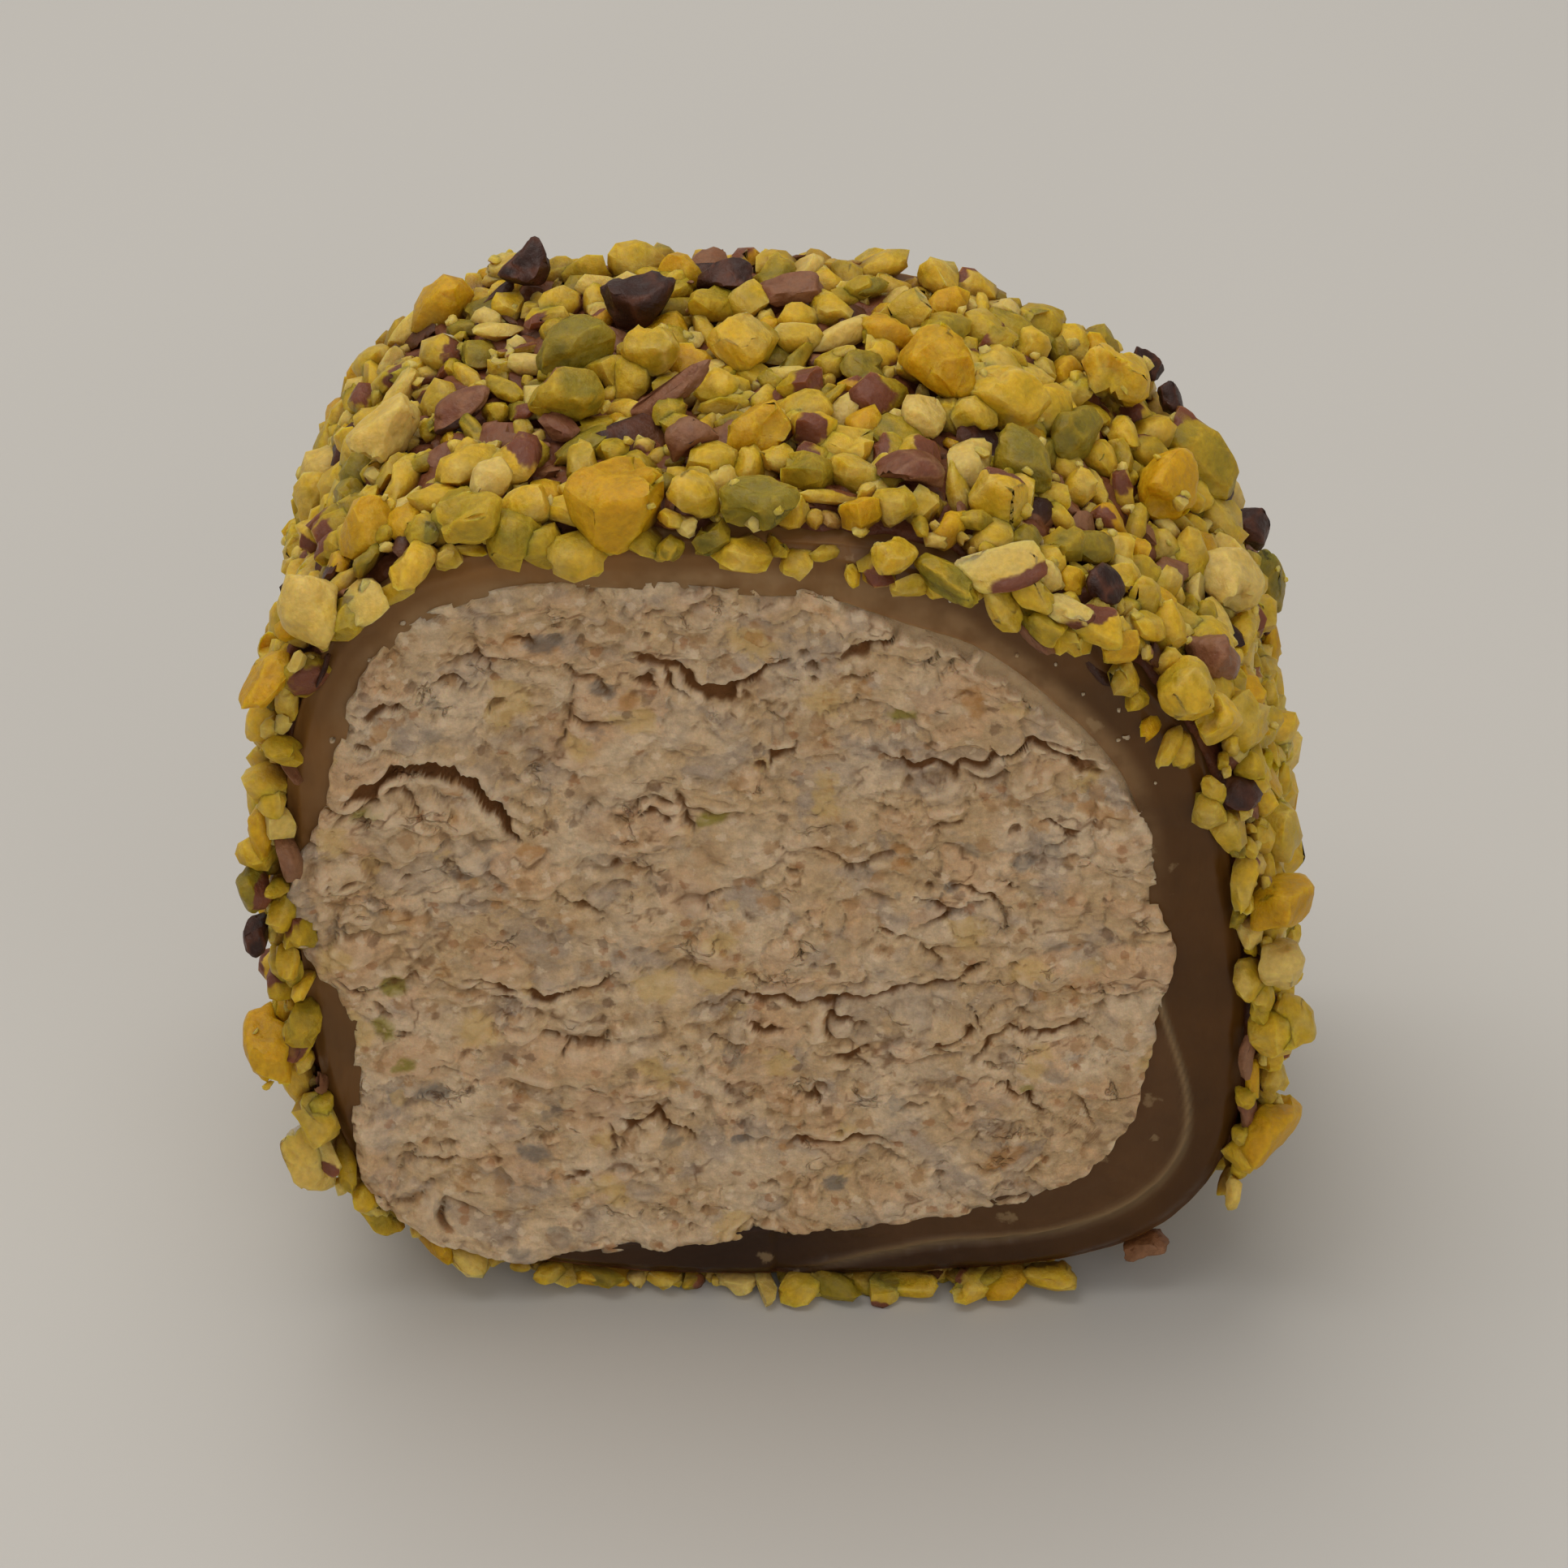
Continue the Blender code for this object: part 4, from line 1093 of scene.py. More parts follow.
class NodeSheet:
    """Short spelling for shader nodes: a call makes a node, sets or links its inputs and gives its output."""

    def __init__(self, tree):
        self.tree = tree

    def node(self, kind, inputs=None, **settings):
        made = self.tree.nodes.new(kind)
        for name, value in settings.items():
            setattr(made, name, value)
        self.fill(made, inputs or {})
        return made

    def fill(self, made, inputs):
        """Links or sets inputs of a node; a colour of three numbers is opaque."""
        for name, value in inputs.items():
            socket = made.inputs[name]
            if isinstance(value, bpy.types.NodeSocket):
                self.tree.links.new(value, socket)
            elif socket.type == "RGBA" and len(value) == 3:
                socket.default_value = (*value, 1)
            else:
                socket.default_value = value

    def math(self, operation, *values):
        return self.node("ShaderNodeMath", dict(enumerate(values)), operation=operation).outputs[0]

    def mix(self, share, first, second, blend="MIX"):
        inputs = {0: share, 6: first, 7: second}
        return self.node("ShaderNodeMix", inputs, data_type="RGBA", blend_type=blend).outputs[2]

    def ramp(self, value, low, high, to_low=0.0, to_high=1.0):
        inputs = {"Value": value, "From Min": low, "From Max": high, "To Min": to_low, "To Max": to_high}
        return self.node("ShaderNodeMapRange", inputs, interpolation_type="SMOOTHSTEP").outputs[0]

    def noise(self, place, scale, detail=3.0, roughness=0.55):
        inputs = {"Vector": place, "Scale": scale, "Detail": detail, "Roughness": roughness}
        return self.node("ShaderNodeTexNoise", inputs).outputs["Fac"]

    def cells(self, place, scale, output="Distance"):
        return self.node("ShaderNodeTexVoronoi", {"Vector": place, "Scale": scale}).outputs[output]

    def mask(self, name):
        return self.node("ShaderNodeAttribute", attribute_name=name).outputs["Fac"]

    def object_place(self):
        return self.node("ShaderNodeTexCoord").outputs["Object"]

    def shaded(self, colour, shade):
        grey = self.node("ShaderNodeCombineColor", {0: shade, 1: shade, 2: shade}).outputs[0]
        return self.mix(1.0, colour, grey, "MULTIPLY")

    def bump(self, height, distance, strength=1.0, under=None):
        inputs = {"Height": height, "Distance": distance, "Strength": strength}
        if under is not None:
            inputs["Normal"] = under
        return self.node("ShaderNodeBump", inputs).outputs["Normal"]


def new_group(name, inputs, outputs):
    """An empty shader node group with these sockets, and its sheet, input node and output node."""
    group = bpy.data.node_groups.new(name, "ShaderNodeTree")
    for label, kind, default in inputs:
        socket = group.interface.new_socket(label, in_out="INPUT", socket_type=kind)
        socket.default_value = default
    for label, kind in outputs:
        group.interface.new_socket(label, in_out="OUTPUT", socket_type=kind)
    sheet = NodeSheet(group)
    return group, sheet, sheet.node("NodeGroupInput"), sheet.node("NodeGroupOutput")


COLOUR, VALUE, NORMAL = "NodeSocketColor", "NodeSocketFloat", "NodeSocketVector"


def specks_group():
    """Scattered specks: 1 inside a share of jittered cells, with ragged edges, and 0 between them."""
    inputs = [("Size", VALUE, 0.001), ("Amount", VALUE, 0.1), ("Ragged", VALUE, 0.5)]
    group, sheet, given, out = new_group("specks", inputs, [("Mask", VALUE)])
    place = sheet.object_place()
    scale = sheet.math("DIVIDE", 1.0, given.outputs["Size"])
    finer = sheet.math("MULTIPLY", scale, 2.6)
    centred = sheet.math("SUBTRACT", sheet.noise(place, finer), 0.5)
    wobble = sheet.math("MULTIPLY", centred, given.outputs["Ragged"])
    away = sheet.math("ADD", sheet.cells(place, scale), wobble)
    chosen = sheet.node("ShaderNodeSeparateColor", {"Color": sheet.cells(place, scale, "Color")}).outputs[0]
    kept = sheet.math("LESS_THAN", chosen, given.outputs["Amount"])
    inside = sheet.ramp(away, 0.42, 0.22)
    sheet.fill(out, {"Mask": sheet.math("MULTIPLY", inside, kept)})
    return group


def grain_group():
    """Fine grain as a bumped normal and a value: two sizes of noise."""
    inputs = [("Size", VALUE, 0.0005), ("Height", VALUE, 0.0001)]
    group, sheet, given, out = new_group("grain", inputs, [("Value", VALUE), ("Normal", NORMAL)])
    place = sheet.object_place()
    scale = sheet.math("DIVIDE", 1.0, given.outputs["Size"])
    value = sheet.noise(place, scale, detail=5.0, roughness=0.65)
    bumped = sheet.node("ShaderNodeBump", {"Height": value, "Distance": given.outputs["Height"]})
    sheet.fill(out, {"Value": value, "Normal": bumped.outputs["Normal"]})
    return group


def broken_nut_group():
    """Colour of a broken kernel: flesh that deepens by bit and by patch, pale edges that are partly wear and
    partly painted highlight, papery skin, and a syrup stain with painted shade near the bed.
    """
    inputs = [
        ("Flesh", COLOUR, (0.7, 0.5, 0.1, 1)),
        ("Deep", COLOUR, (0.5, 0.3, 0.05, 1)),
        ("Edge", COLOUR, (0.8, 0.7, 0.3, 1)),
        ("Skin", COLOUR, (0.2, 0.08, 0.05, 1)),
        # Syrup stain and painted shade low on the bits, near the bed
        ("Stain And Shade", COLOUR, (0.20, 0.075, 0.02, 1)),
        ("Skin Amount", VALUE, 1.0),
    ]
    group, sheet, given, out = new_group("broken_nut", inputs, [("Color", COLOUR), ("Roughness", VALUE)])
    place = sheet.object_place()
    patches, mottle = sheet.noise(place, 700.0), sheet.noise(place, 3200.0, detail=4.0)
    depth = sheet.math("MULTIPLY", sheet.mask("tone"), 0.75)
    depth = sheet.math("ADD", depth, sheet.ramp(patches, 0.35, 0.75, -0.2, 0.6))
    depth = sheet.node("ShaderNodeClamp", {"Value": depth}).outputs[0]
    colour = sheet.mix(depth, given.outputs["Flesh"], given.outputs["Deep"])
    # Pale edges: partly wear, partly painted highlight
    edge_wear_and_highlight = sheet.math("MULTIPLY", sheet.mask("edge"), sheet.ramp(patches, 0.3, 0.7, 0.10, 0.55))
    colour = sheet.mix(edge_wear_and_highlight, colour, given.outputs["Edge"])
    shade = sheet.ramp(mottle, 0.25, 0.75, 0.86, 1.10)
    colour = sheet.shaded(colour, shade)
    ragged = sheet.math("ADD", sheet.mask("skin"), sheet.ramp(patches, 0.3, 0.7, -0.35, 0.35))
    skin = sheet.math("MULTIPLY", sheet.ramp(ragged, 0.36, 0.74), given.outputs["Skin Amount"])
    colour = sheet.mix(skin, colour, given.outputs["Skin"])
    # Syrup stain and painted shade near the bed
    stain_and_shade = sheet.math("MULTIPLY", sheet.mask("low"), 0.8)
    colour = sheet.mix(stain_and_shade, colour, given.outputs["Stain And Shade"])
    sheet.fill(out, {"Color": colour, "Roughness": sheet.ramp(mottle, 0.2, 0.8, 0.30, 0.60)})
    return group


def new_material(name):
    material = bpy.data.materials.new(name)
    material.use_nodes = True
    sheet = NodeSheet(material.node_tree)
    return material, sheet, material.node_tree.nodes["Principled BSDF"]


def use_group(sheet, name, builder, **inputs):
    """Places an effect's node group, built the first time that it is asked for, with its own values."""
    node = sheet.node("ShaderNodeGroup", node_tree=bpy.data.node_groups.get(name) or builder())
    sheet.fill(node, {label.replace("_", " "): value for label, value in inputs.items()})
    return node


def halva_material(settings):
    """Pressed crumb: cream, tan and grey patches, specks, cut nuts, painted highlights on crests, and painted
    shade in dips, hairline cracks and hollows.
    """
    material, sheet, shader = new_material("pressed_halva_crumb")
    place = sheet.object_place()
    patches = sheet.ramp(sheet.noise(place, 230.0, detail=4.0), 0.38, 0.64)
    patches = sheet.math("ADD", patches, sheet.math("MULTIPLY", sheet.mask("crumbled"), 0.55))
    patches = sheet.node("ShaderNodeClamp", {"Value": patches}).outputs[0]
    colour = sheet.mix(patches, settings.cream, settings.tan)
    cool = sheet.ramp(sheet.noise(place, 340.0, detail=3.0, roughness=0.6), 0.50, 0.66, 0.0, 0.75)
    colour = sheet.mix(cool, colour, settings.cool)
    colour = sheet.mix(sheet.ramp(sheet.mask("block"), 0.62, 0.80, 0.0, 0.55), colour, settings.peach)
    colour = sheet.mix(sheet.ramp(sheet.mask("block"), 0.36, 0.20, 0.0, 0.45), colour, settings.cool)
    for scale, low, high in ((1000.0, 0.84, 1.14), (2700.0, 0.86, 1.12)):
        shade = sheet.ramp(sheet.noise(place, scale, detail=4.0, roughness=0.7), 0.28, 0.72, low, high)
        colour = sheet.shaded(colour, shade)
    for size, amount, ragged, tint, strength in (
        (0.0045, 0.16, 0.9, settings.peach, 0.50),
        (0.0028, 0.20, 0.9, settings.toasted, 0.38),
        (0.0013, 0.26, 0.9, settings.toasted, 0.60),
        (0.0007, 0.26, 0.9, settings.crest, 0.55),
        (0.0008, 0.10, 0.8, settings.rust, 0.60),
        (0.0030, 0.20, 0.9, settings.straw, 0.65),
        (0.0016, 0.07, 0.9, settings.amber_speck, 0.50),
        (0.0017, 0.05, 0.9, settings.straw, 0.50),
        (0.0010, 0.07, 0.8, settings.brown_speck, 0.55),
        (0.0019, 0.07, 0.9, settings.grey_speck, 0.45),
    ):
        specks = use_group(sheet, "specks", specks_group, Size=size, Amount=amount, Ragged=ragged)
        mask = sheet.math("MULTIPLY", specks.outputs["Mask"], strength)
        colour = sheet.mix(mask, colour, tint)
    for mask, tint, strength in (
        ("green_bit", settings.green_speck, 0.85),
        ("amber_bit", settings.amber_speck, 0.60),
        ("slate_bit", settings.grey_speck, 0.70),
    ):
        broken = sheet.ramp(sheet.noise(place, 1500.0), 0.25, 0.45, 0.35, 1.0)
        share = sheet.math("MULTIPLY", sheet.math("MULTIPLY", sheet.mask(mask), broken), strength)
        colour = sheet.mix(share, colour, tint)
    swirl = sheet.node("ShaderNodeTexNoise", {"Vector": place, "Scale": 800.0, "Detail": 3.0})
    bend = {0: swirl.outputs["Color"], 1: (0.0016, 0.0016, 0.0016), 2: place}
    bent = sheet.node("ShaderNodeVectorMath", bend, operation="MULTIPLY_ADD").outputs[0]
    bent = sheet.node("ShaderNodeMapping", {"Vector": bent, "Scale": (0.75, 1.0, 1.25)}).outputs[0]
    border = sheet.node("ShaderNodeTexVoronoi", {"Vector": bent, "Scale": 620.0}, feature="DISTANCE_TO_EDGE")
    opened = sheet.ramp(sheet.noise(place, 420.0, detail=2.0), 0.58, 0.70)
    hairline = sheet.math("MULTIPLY", sheet.ramp(border.outputs["Distance"], 0.06, 0.0), opened)
    # Painted highlight on crests, painted shade in dips and along hairline cracks
    crest = sheet.mask("crest")
    colour = sheet.mix(sheet.ramp(crest, 0.0, 1.0, 0.0, 0.50), colour, settings.crest)
    colour = sheet.mix(sheet.ramp(crest, 0.0, -1.0, 0.0, 0.55), colour, settings.shade)
    colour = sheet.mix(sheet.math("MULTIPLY", hairline, 0.22), colour, settings.shade)
    # Painted shade inside cracks, grooves and pits
    crack_shade = sheet.ramp(sheet.mask("crack_shade"), 0.18, 0.85, 0.0, 0.95)
    colour = sheet.mix(crack_shade, colour, settings.crevice_shade)
    colour = sheet.mix(sheet.math("MULTIPLY", sheet.mask("flaked"), 0.8), colour, settings.smear)
    grain = use_group(sheet, "grain", grain_group, Size=0.00045, Height=0.00020)
    normal = sheet.bump(sheet.math("SUBTRACT", 1.0, hairline), 0.00022, under=grain.outputs["Normal"])
    finish = {
        "Base Color": colour,
        "Normal": normal,
        "Roughness": 0.82,
        "Specular IOR Level": 0.2,
        "Subsurface Weight": 0.30,
        "Subsurface Radius": (1.0, 0.45, 0.2),
        "Subsurface Scale": 0.0009,
    }
    sheet.fill(shader, finish)
    return material


def delight_material(settings):
    """Brown jelly: painted light on top and at the left side, painted shade at the foot, smeared with filling
    beside it.
    """
    material, sheet, shader = new_material("delight_jelly")
    place = sheet.object_place()
    # Painted light on the jelly on top and at the left side
    colour = sheet.mix(sheet.mask("lit"), settings.jelly, settings.jelly_lit)
    # Painted shade on the jelly at the foot
    colour = sheet.mix(sheet.mask("sunk"), colour, settings.jelly_foot_shade)
    inner = sheet.math("MULTIPLY", sheet.mask("inner_layer"), 0.6)
    colour = sheet.mix(inner, colour, settings.jelly_inner)
    clouds = sheet.ramp(sheet.noise(place, 160.0, detail=3.0), 0.3, 0.7, 0.82, 1.16)
    colour = sheet.shaded(colour, clouds)
    streaks = sheet.ramp(sheet.noise(place, 500.0, detail=3.0), 0.30, 0.65, 0.25, 1.0)
    smeared = sheet.math("MULTIPLY", sheet.mask("smeared"), streaks)
    colour = sheet.mix(smeared, colour, settings.smear)
    colour = sheet.mix(sheet.math("MULTIPLY", sheet.mask("seam_line"), 0.45), colour, settings.seam)
    dust = use_group(sheet, "specks", specks_group, Size=0.0012, Amount=0.05, Ragged=0.9)
    colour = sheet.mix(sheet.math("MULTIPLY", dust.outputs["Mask"], 0.4), colour, settings.seam)
    stretched = sheet.node("ShaderNodeMapping", {"Vector": place, "Scale": (1.0, 1.0, 0.12)}).outputs[0]
    drag = sheet.noise(stretched, 1900.0, detail=3.0)
    smooth = sheet.noise(place, 420.0, detail=2.0)
    normal = sheet.bump(smooth, 0.00022)
    normal = sheet.bump(drag, 0.00004, under=normal)
    finish = {
        "Base Color": colour,
        "Roughness": sheet.ramp(sheet.noise(place, 900.0, detail=3.0), 0.3, 0.7, 0.30, 0.48),
        "Normal": normal,
        "Specular IOR Level": 0.2,
        "Subsurface Weight": 0.35,
        "Subsurface Radius": (1.0, 0.6, 0.35),
        "Subsurface Scale": 0.0012,
        "Coat Weight": 0.04,
        "Coat Roughness": 0.2,
    }
    sheet.fill(shader, finish)
    return material


def nut_material(name, flesh, deep, edge, skin, skin_amount=1.0, waxy=0.6):
    """Broken nut or papery skin: the shared nut colours over fine grain and small lumps, and how waxy."""
    material, sheet, shader = new_material(name)
    colours = dict(Flesh=flesh, Deep=deep, Edge=edge, Skin=skin)
    nut = use_group(sheet, "broken_nut", broken_nut_group, **colours, Skin_Amount=skin_amount)
    grain = use_group(sheet, "grain", grain_group, Size=0.0007, Height=0.00016)
    lumps = sheet.noise(sheet.object_place(), 1000.0, detail=2.0)
    finish = {
        "Base Color": nut.outputs["Color"],
        "Roughness": nut.outputs["Roughness"],
        "Normal": sheet.bump(lumps, 0.00018, under=grain.outputs["Normal"]),
        "Specular IOR Level": 0.28,
        "Subsurface Weight": waxy,
        "Subsurface Radius": (1.0, 0.65, 0.2),
        "Subsurface Scale": 0.0015,
    }
    sheet.fill(shader, finish)
    return material


def floor_material(settings):
    """Pale floor with faint clouds."""
    material, sheet, shader = new_material("pale_floor")
    place = sheet.object_place()
    clouds = sheet.ramp(sheet.noise(place, 9.0), 0.3, 0.7)
    pale = settings.floor_colour
    colour = sheet.mix(clouds, pale, [value * 0.97 for value in pale])
    sheet.fill(shader, {"Base Color": colour, "Roughness": 0.6})
    return material


# ---------------------------------------------------------------- settings


def colour_setting(name, description, default):
    return bpy.props.FloatVectorProperty(
        name=name, description=description, default=default, subtype="COLOR", size=3, min=0.0, max=1.0
    )


class HalvaSettings(bpy.types.PropertyGroup):
    """Grids and colours of the filling."""

    front_cells: bpy.props.IntProperty(
        name="Front cells", description="Cells along a side of the best cut", default=262, min=40, max=270
    )
    back_cells: bpy.props.IntProperty(
        name="Back cells", description="Cells along a side of the other cut", default=156, min=40, max=160
    )
    relief: bpy.props.FloatProperty(
        name="Relief",
        description="How strongly the broken crumb stands out",
        default=1.0,
        min=0.0,
        max=2.0,
        subtype="FACTOR",
    )
    cream: colour_setting("Cream", "Palest crumb", (0.68, 0.505, 0.325))
    tan: colour_setting("Tan", "Darker crumb", (0.56, 0.38, 0.205))
    toasted: colour_setting("Toasted", "Toasted, orange-brown specks", (0.40, 0.215, 0.085))
    peach: colour_setting("Peach", "Warmer patches of crumb", (0.62, 0.375, 0.20))
    rust: colour_setting("Rust speck", "Small rust-brown bits", (0.36, 0.15, 0.05))
    straw: colour_setting("Straw speck", "Yellow smears", (0.64, 0.43, 0.16))
    brown_speck: colour_setting("Brown speck", "Bits of nut skin", (0.14, 0.065, 0.03))
    grey_speck: colour_setting("Grey speck", "Blue-grey bits", (0.15, 0.14, 0.125))
    green_speck: colour_setting("Green speck", "Bits of green nut", (0.27, 0.22, 0.025))
    amber_speck: colour_setting("Amber speck", "Orange and rust bits", (0.46, 0.21, 0.045))
    cool: colour_setting("Cool crumb", "Greyer, mauve crumb", (0.41, 0.315, 0.235))
    # Painted highlight colour on crests, also used for pale specks; painted shade colour for low places and
    # hairline cracks
    crest: colour_setting("Crest", "Dry edges of the crumb", (0.78, 0.61, 0.42))
    shade: colour_setting("Shade", "Low places between crumbs", (0.27, 0.145, 0.055))
    # Painted shade: colour inside the cracks
    crevice_shade: colour_setting("Crevice", "Inside the cracks", (0.15, 0.055, 0.012))
    smear: colour_setting("Smear", "Smooth band where the rim flaked off", (0.50, 0.345, 0.19))


class DelightSettings(bpy.types.PropertyGroup):
    """Cut and colours of the sheet of delight."""

    round_steps: bpy.props.IntProperty(
        name="Steps", description="Points round the sheet", default=640, min=90, max=900
    )
    dish: bpy.props.FloatProperty(
        name="Dish", description="Hollow of the cut jelly between its edges, in millimetres", default=0.1
    )
    layer_step: bpy.props.FloatProperty(
        name="Layer step", description="How far the inner layer lies behind the outer, in mm", default=0.28
    )
    jelly: colour_setting("Jelly", "The sheet at the sides", (0.085, 0.034, 0.006))
    # Painted light: colour of the jelly on top
    jelly_lit: colour_setting("Lit jelly", "The thin sheet on top", (0.225, 0.105, 0.028))
    # Painted shade: colour of the jelly at the foot
    jelly_foot_shade: colour_setting("Dark jelly", "The sheet at the foot", (0.034, 0.0135, 0.005))
    jelly_inner: colour_setting("Inner layer", "The inner end of the sheet", (0.125, 0.059, 0.021))
    smear: colour_setting("Smear", "Filling smeared over the jelly", (0.30, 0.175, 0.075))
    seam: colour_setting("Seam", "Sugar in the seam and dust on the cut", (0.38, 0.26, 0.13))


class CoatSettings(bpy.types.PropertyGroup):
    """Bed, scatter and colours of the nuts."""

    seed: bpy.props.IntProperty(name="Seed", description="Seed of the scattered nuts", default=7, min=0)
    bed_thickness: bpy.props.FloatProperty(
        name="Bed", description="Thickness of the crumb bed", default=0.75 * MM, unit="LENGTH", precision=5
    )
    bed_columns: bpy.props.IntProperty(
        name="Bed columns", description="Points round the bed", default=520, min=60
    )
    bed_rows: bpy.props.IntProperty(name="Bed rows", description="Points along the bed", default=80, min=8)
    crumb_count: bpy.props.IntProperty(
        name="Crumbs", description="Number of fine crumbs", default=1600, min=0
    )
    yellow: colour_setting("Yellow", "Most of the kernels", (0.65, 0.40, 0.016))
    golden: colour_setting("Golden", "Deeper, orange kernels", (0.58, 0.31, 0.004))
    lime: colour_setting("Lime", "Yellow-green kernels", (0.44, 0.295, 0.014))
    green: colour_setting("Green", "Green outsides of kernels", (0.245, 0.185, 0.012))
    cream: colour_setting("Cream", "Pale insides of kernels", (0.64, 0.46, 0.13))
    mauve: colour_setting("Mauve", "Papery skin", (0.25, 0.118, 0.056))
    wine: colour_setting("Wine", "Darker papery skin", (0.17, 0.055, 0.026))
    dark: colour_setting("Dark", "Dark skin", (0.036, 0.012, 0.007))
    syrup: colour_setting("Syrup", "Bed under the nuts", (0.16, 0.052, 0.014))


class StageSettings(bpy.types.PropertyGroup):
    """Floor and lights."""

    floor_colour: colour_setting("Floor", "Pale floor", (0.56, 0.545, 0.515))
    key_power: bpy.props.FloatProperty(
        name="Key light", description="Overhead light", default=2.0, min=0.0, unit="POWER"
    )
    fill_power: bpy.props.FloatProperty(
        name="Fill light", description="Light from the front", default=0.85, min=0.0, unit="POWER"
    )
    sky_strength: bpy.props.FloatProperty(name="Sky", description="Even light from all round", default=0.40)


# ---------------------------------------------------------------- operators


class SWEETS_OT_halva(bpy.types.Operator):
    """Builds the crumbly filling with both of its cuts."""

    bl_idname = "sweets.halva"
    bl_label = "Halva Filling"

    def execute(self, context):
        settings = context.scene.halva
        remove_piece("halva_body")
        build_halva(settings, halva_material(settings))
        return {"FINISHED"}


class SWEETS_OT_delight(bpy.types.Operator):
    """Builds the sheet of delight that is rolled round the filling."""

    bl_idname = "sweets.delight"
    bl_label = "Delight Sheet"

    def execute(self, context):
        settings = context.scene.delight
        for name in ("delight_ring", "filling_crumbs"):
            remove_piece(name)
        build_delight(settings, delight_material(settings))
        crumb = bpy.data.materials.get("pressed_halva_crumb") or halva_material(context.scene.halva)
        build_ring_crumbs(settings, crumb)
        return {"FINISHED"}


class SWEETS_OT_bed(bpy.types.Operator):
    """Builds the bed of fine crumbs that the nuts are stuck in."""

    bl_idname = "sweets.bed"
    bl_label = "Crumb Bed"

    def execute(self, context):
        coat = context.scene.coat
        remove_piece("crumb_bed")
        colours = (coat.wine, coat.syrup, coat.lime, coat.dark)
        syrup = nut_material("syrup_bed", *colours, skin_amount=0.0, waxy=0.0)
        build_bed(coat, syrup)
        return {"FINISHED"}


class SWEETS_OT_nuts(bpy.types.Operator):
    """Builds one piece for each kind of chopped nut bit."""

    bl_idname = "sweets.nuts"
    bl_label = "Chopped Nuts"

    def execute(self, context):
        coat = context.scene.coat
        for name in (*KINDS, "nut_crumbs"):
            remove_piece(name)
        straw = [(cream + yellow) / 2 for cream, yellow in zip(coat.cream, coat.yellow)]
        # Each kind: flesh, deep, edge (pale edges, partly wear and partly painted highlight) and skin colours
        flesh = {
            "kernels_yellow": (coat.yellow, coat.lime, coat.cream, coat.wine),
            "kernels_golden": (coat.golden, [c * 0.8 for c in coat.golden], coat.yellow, coat.wine),
            "kernels_lime": (coat.lime, coat.green, coat.yellow, coat.wine),
            "kernels_green": (coat.green, [c * 0.7 for c in coat.green], coat.lime, coat.wine),
            "kernels_cream": (coat.cream, straw, [min(1, c * 1.1) for c in coat.cream], coat.wine),
            "skins_mauve": (coat.mauve, coat.wine, [c * 1.3 for c in coat.mauve], coat.dark),
            "skins_dark": (coat.dark, [c * 0.6 for c in coat.dark], coat.wine, coat.dark),
        }
        waxy = {name: 0.0 if name.startswith("skins") else 0.6 for name in flesh}
        materials = {name: nut_material(name, *colours, waxy=waxy[name]) for name, colours in flesh.items()}
        points = build_bits(coat, materials)
        crumb = nut_material("nut_crumb", coat.cream, coat.yellow, coat.cream, coat.mauve)
        build_crumbs(coat, crumb, points)
        return {"FINISHED"}


class SWEETS_OT_stage(bpy.types.Operator):
    """Sets the floor, the soft studio lights and the camera."""

    bl_idname = "sweets.stage"
    bl_label = "Stage"

    def execute(self, context):
        settings = context.scene.stage
        remove_piece("floor")
        half = FLOOR_SIZE / 2
        mesh = bpy.data.meshes.new("floor")
        corners = [(-half, -half, 0), (half, -half, 0), (half, half, 0), (-half, half, 0)]
        mesh.from_pydata(corners, [], [(0, 1, 2, 3)])
        mesh.materials.append(floor_material(settings))
        floor = bpy.data.objects.new("floor", mesh)
        context.scene.collection.objects.link(floor)
        add_area_light("key_light", KEY_PLACE, KEY_SIZE, settings.key_power, KEY_TINT)
        add_area_light("fill_light", FILL_PLACE, FILL_SIZE, settings.fill_power, FILL_TINT)
        world = bpy.data.worlds.new("soft_sky")
        world.use_nodes = True
        background = world.node_tree.nodes["Background"]
        background.inputs["Color"].default_value = SKY_TINT
        background.inputs["Strength"].default_value = settings.sky_strength
        context.scene.world = world
        context.scene.view_settings.view_transform = "Standard"
        add_camera()
        return {"FINISHED"}


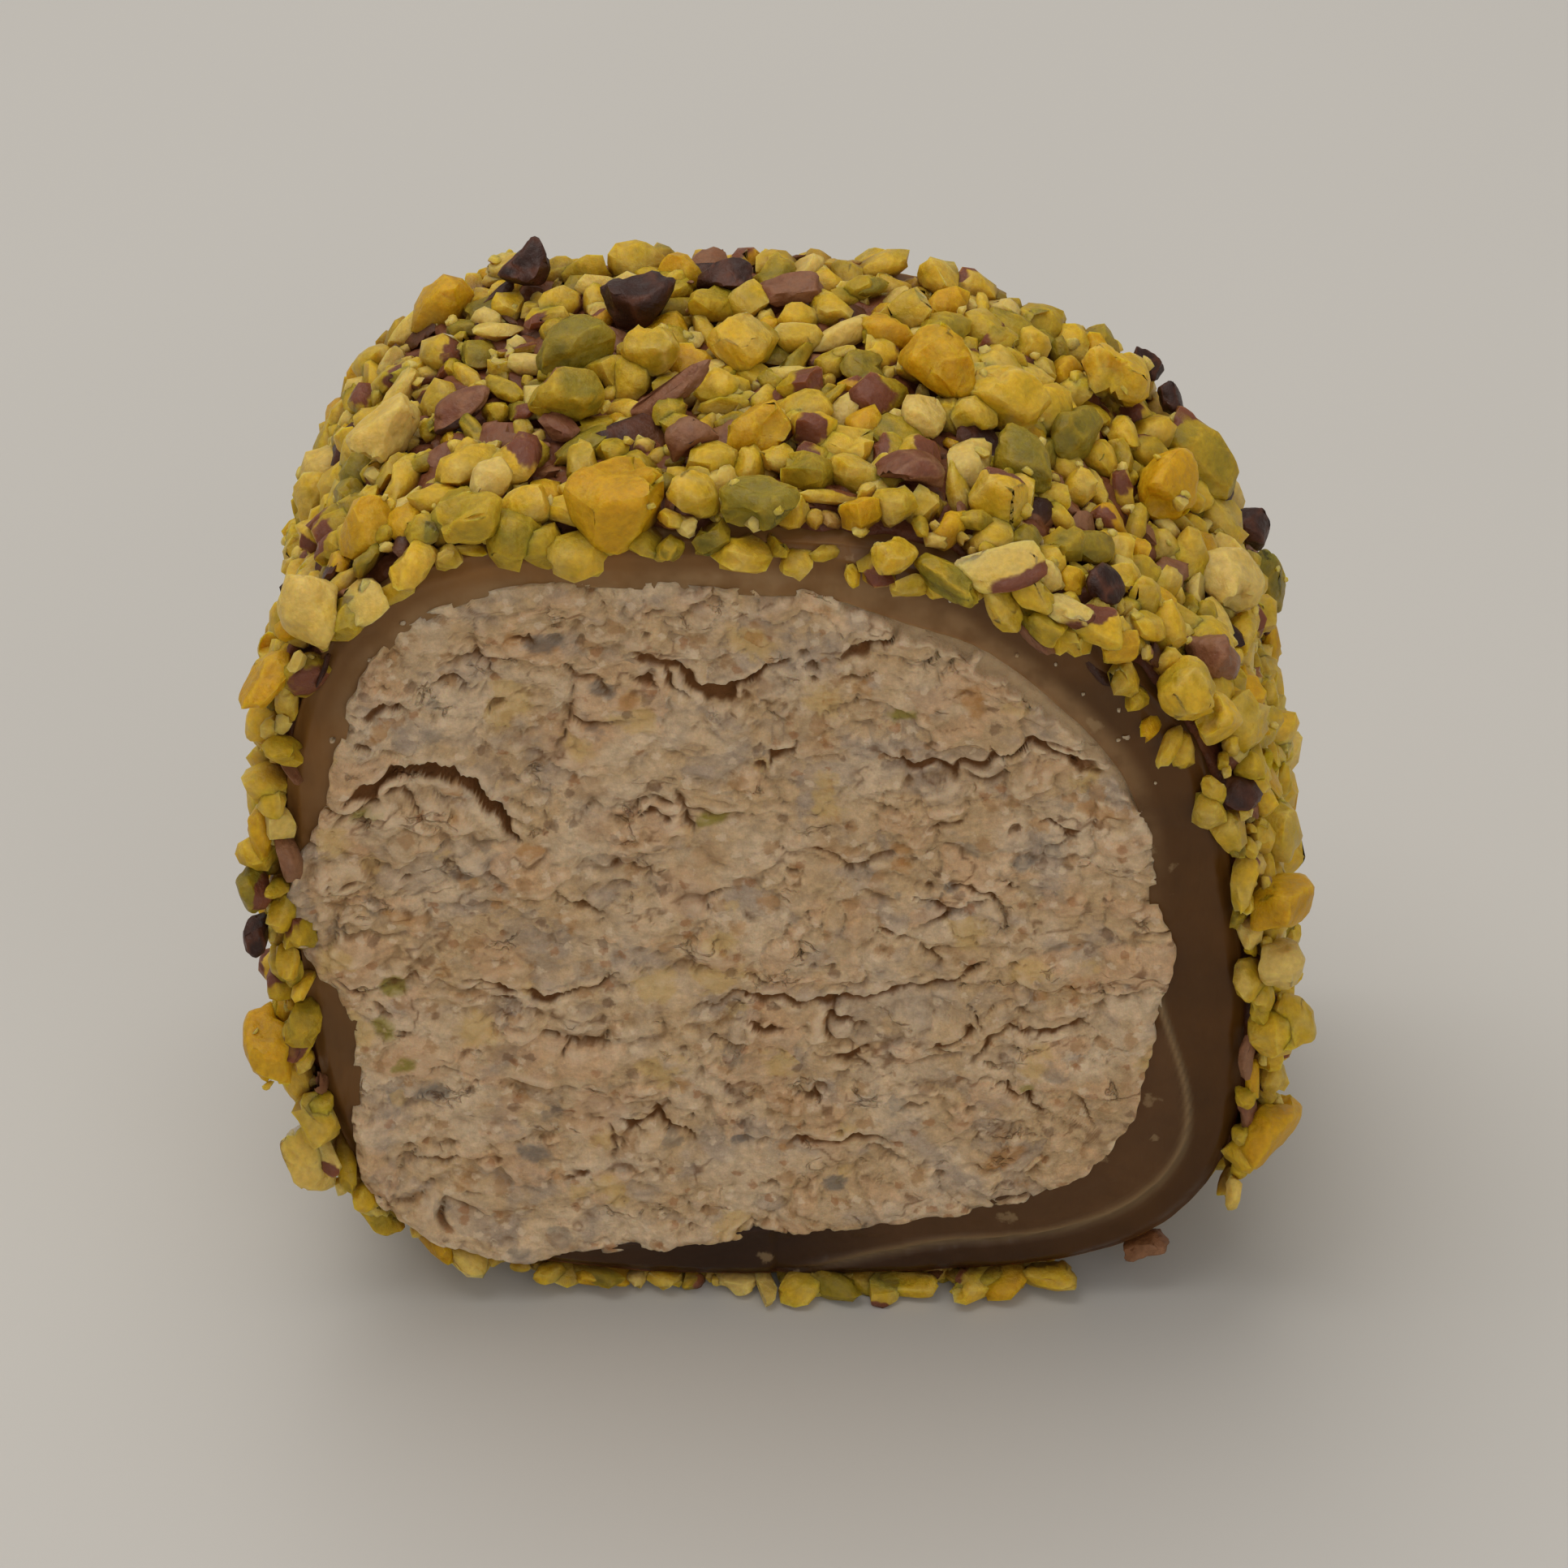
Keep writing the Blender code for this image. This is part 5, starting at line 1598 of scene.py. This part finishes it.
def add_area_light(name, place, size, power, colour):
    light = bpy.data.lights.new(name, "AREA")
    light.size = size
    light.energy = power
    light.color = colour
    lamp = bpy.data.objects.new(name, light)
    lamp.location = place
    lamp.rotation_mode = "QUATERNION"
    lamp.rotation_quaternion = (CAMERA_AIM - Vector(place)).to_track_quat("-Z", "Y")
    bpy.context.scene.collection.objects.link(lamp)


def add_camera():
    camera = bpy.data.cameras.new("camera")
    camera.lens = CAMERA_LENS
    camera.clip_start = 0.01
    holder = bpy.data.objects.new("camera", camera)
    holder.location = CAMERA_PLACE
    holder.rotation_mode = "QUATERNION"
    look = (CAMERA_AIM - CAMERA_PLACE).to_track_quat("-Z", "Y")
    holder.rotation_quaternion = look @ Matrix.Rotation(CAMERA_ROLL, 3, "Z").to_quaternion()
    bpy.context.scene.collection.objects.link(holder)
    bpy.context.scene.camera = holder


class SWEETS_PT_panel(bpy.types.Panel):
    """Lists the settings and the operators of the roll."""

    bl_label = "Turkish Delight Roll"
    bl_idname = "SWEETS_PT_panel"
    bl_space_type = "VIEW_3D"
    bl_region_type = "UI"
    bl_category = "Sweets"

    def draw(self, context):
        for name, operators in STEPS.items():
            box = self.layout.box()
            settings = getattr(context.scene, name)
            for label in settings.__annotations__:
                box.prop(settings, label)
            for operator in operators:
                box.operator(operator.bl_idname)


GROUPS = {"halva": HalvaSettings, "delight": DelightSettings, "coat": CoatSettings, "stage": StageSettings}
STEPS = {
    "halva": (SWEETS_OT_halva,),
    "delight": (SWEETS_OT_delight,),
    "coat": (SWEETS_OT_bed, SWEETS_OT_nuts),
    "stage": (SWEETS_OT_stage,),
}
CLASSES = (*GROUPS.values(), *(operator for step in STEPS.values() for operator in step), SWEETS_PT_panel)


def register():
    for cls in CLASSES:
        bpy.utils.register_class(cls)
    for name, group in GROUPS.items():
        setattr(bpy.types.Scene, name, bpy.props.PointerProperty(type=group))


def unregister():
    for name in GROUPS:
        delattr(bpy.types.Scene, name)
    for cls in reversed(CLASSES):
        bpy.utils.unregister_class(cls)


def main():
    register()
    bpy.ops.sweets.halva()
    bpy.ops.sweets.delight()
    bpy.ops.sweets.bed()
    bpy.ops.sweets.nuts()
    bpy.ops.sweets.stage()


if __name__ == "__main__":
    main()
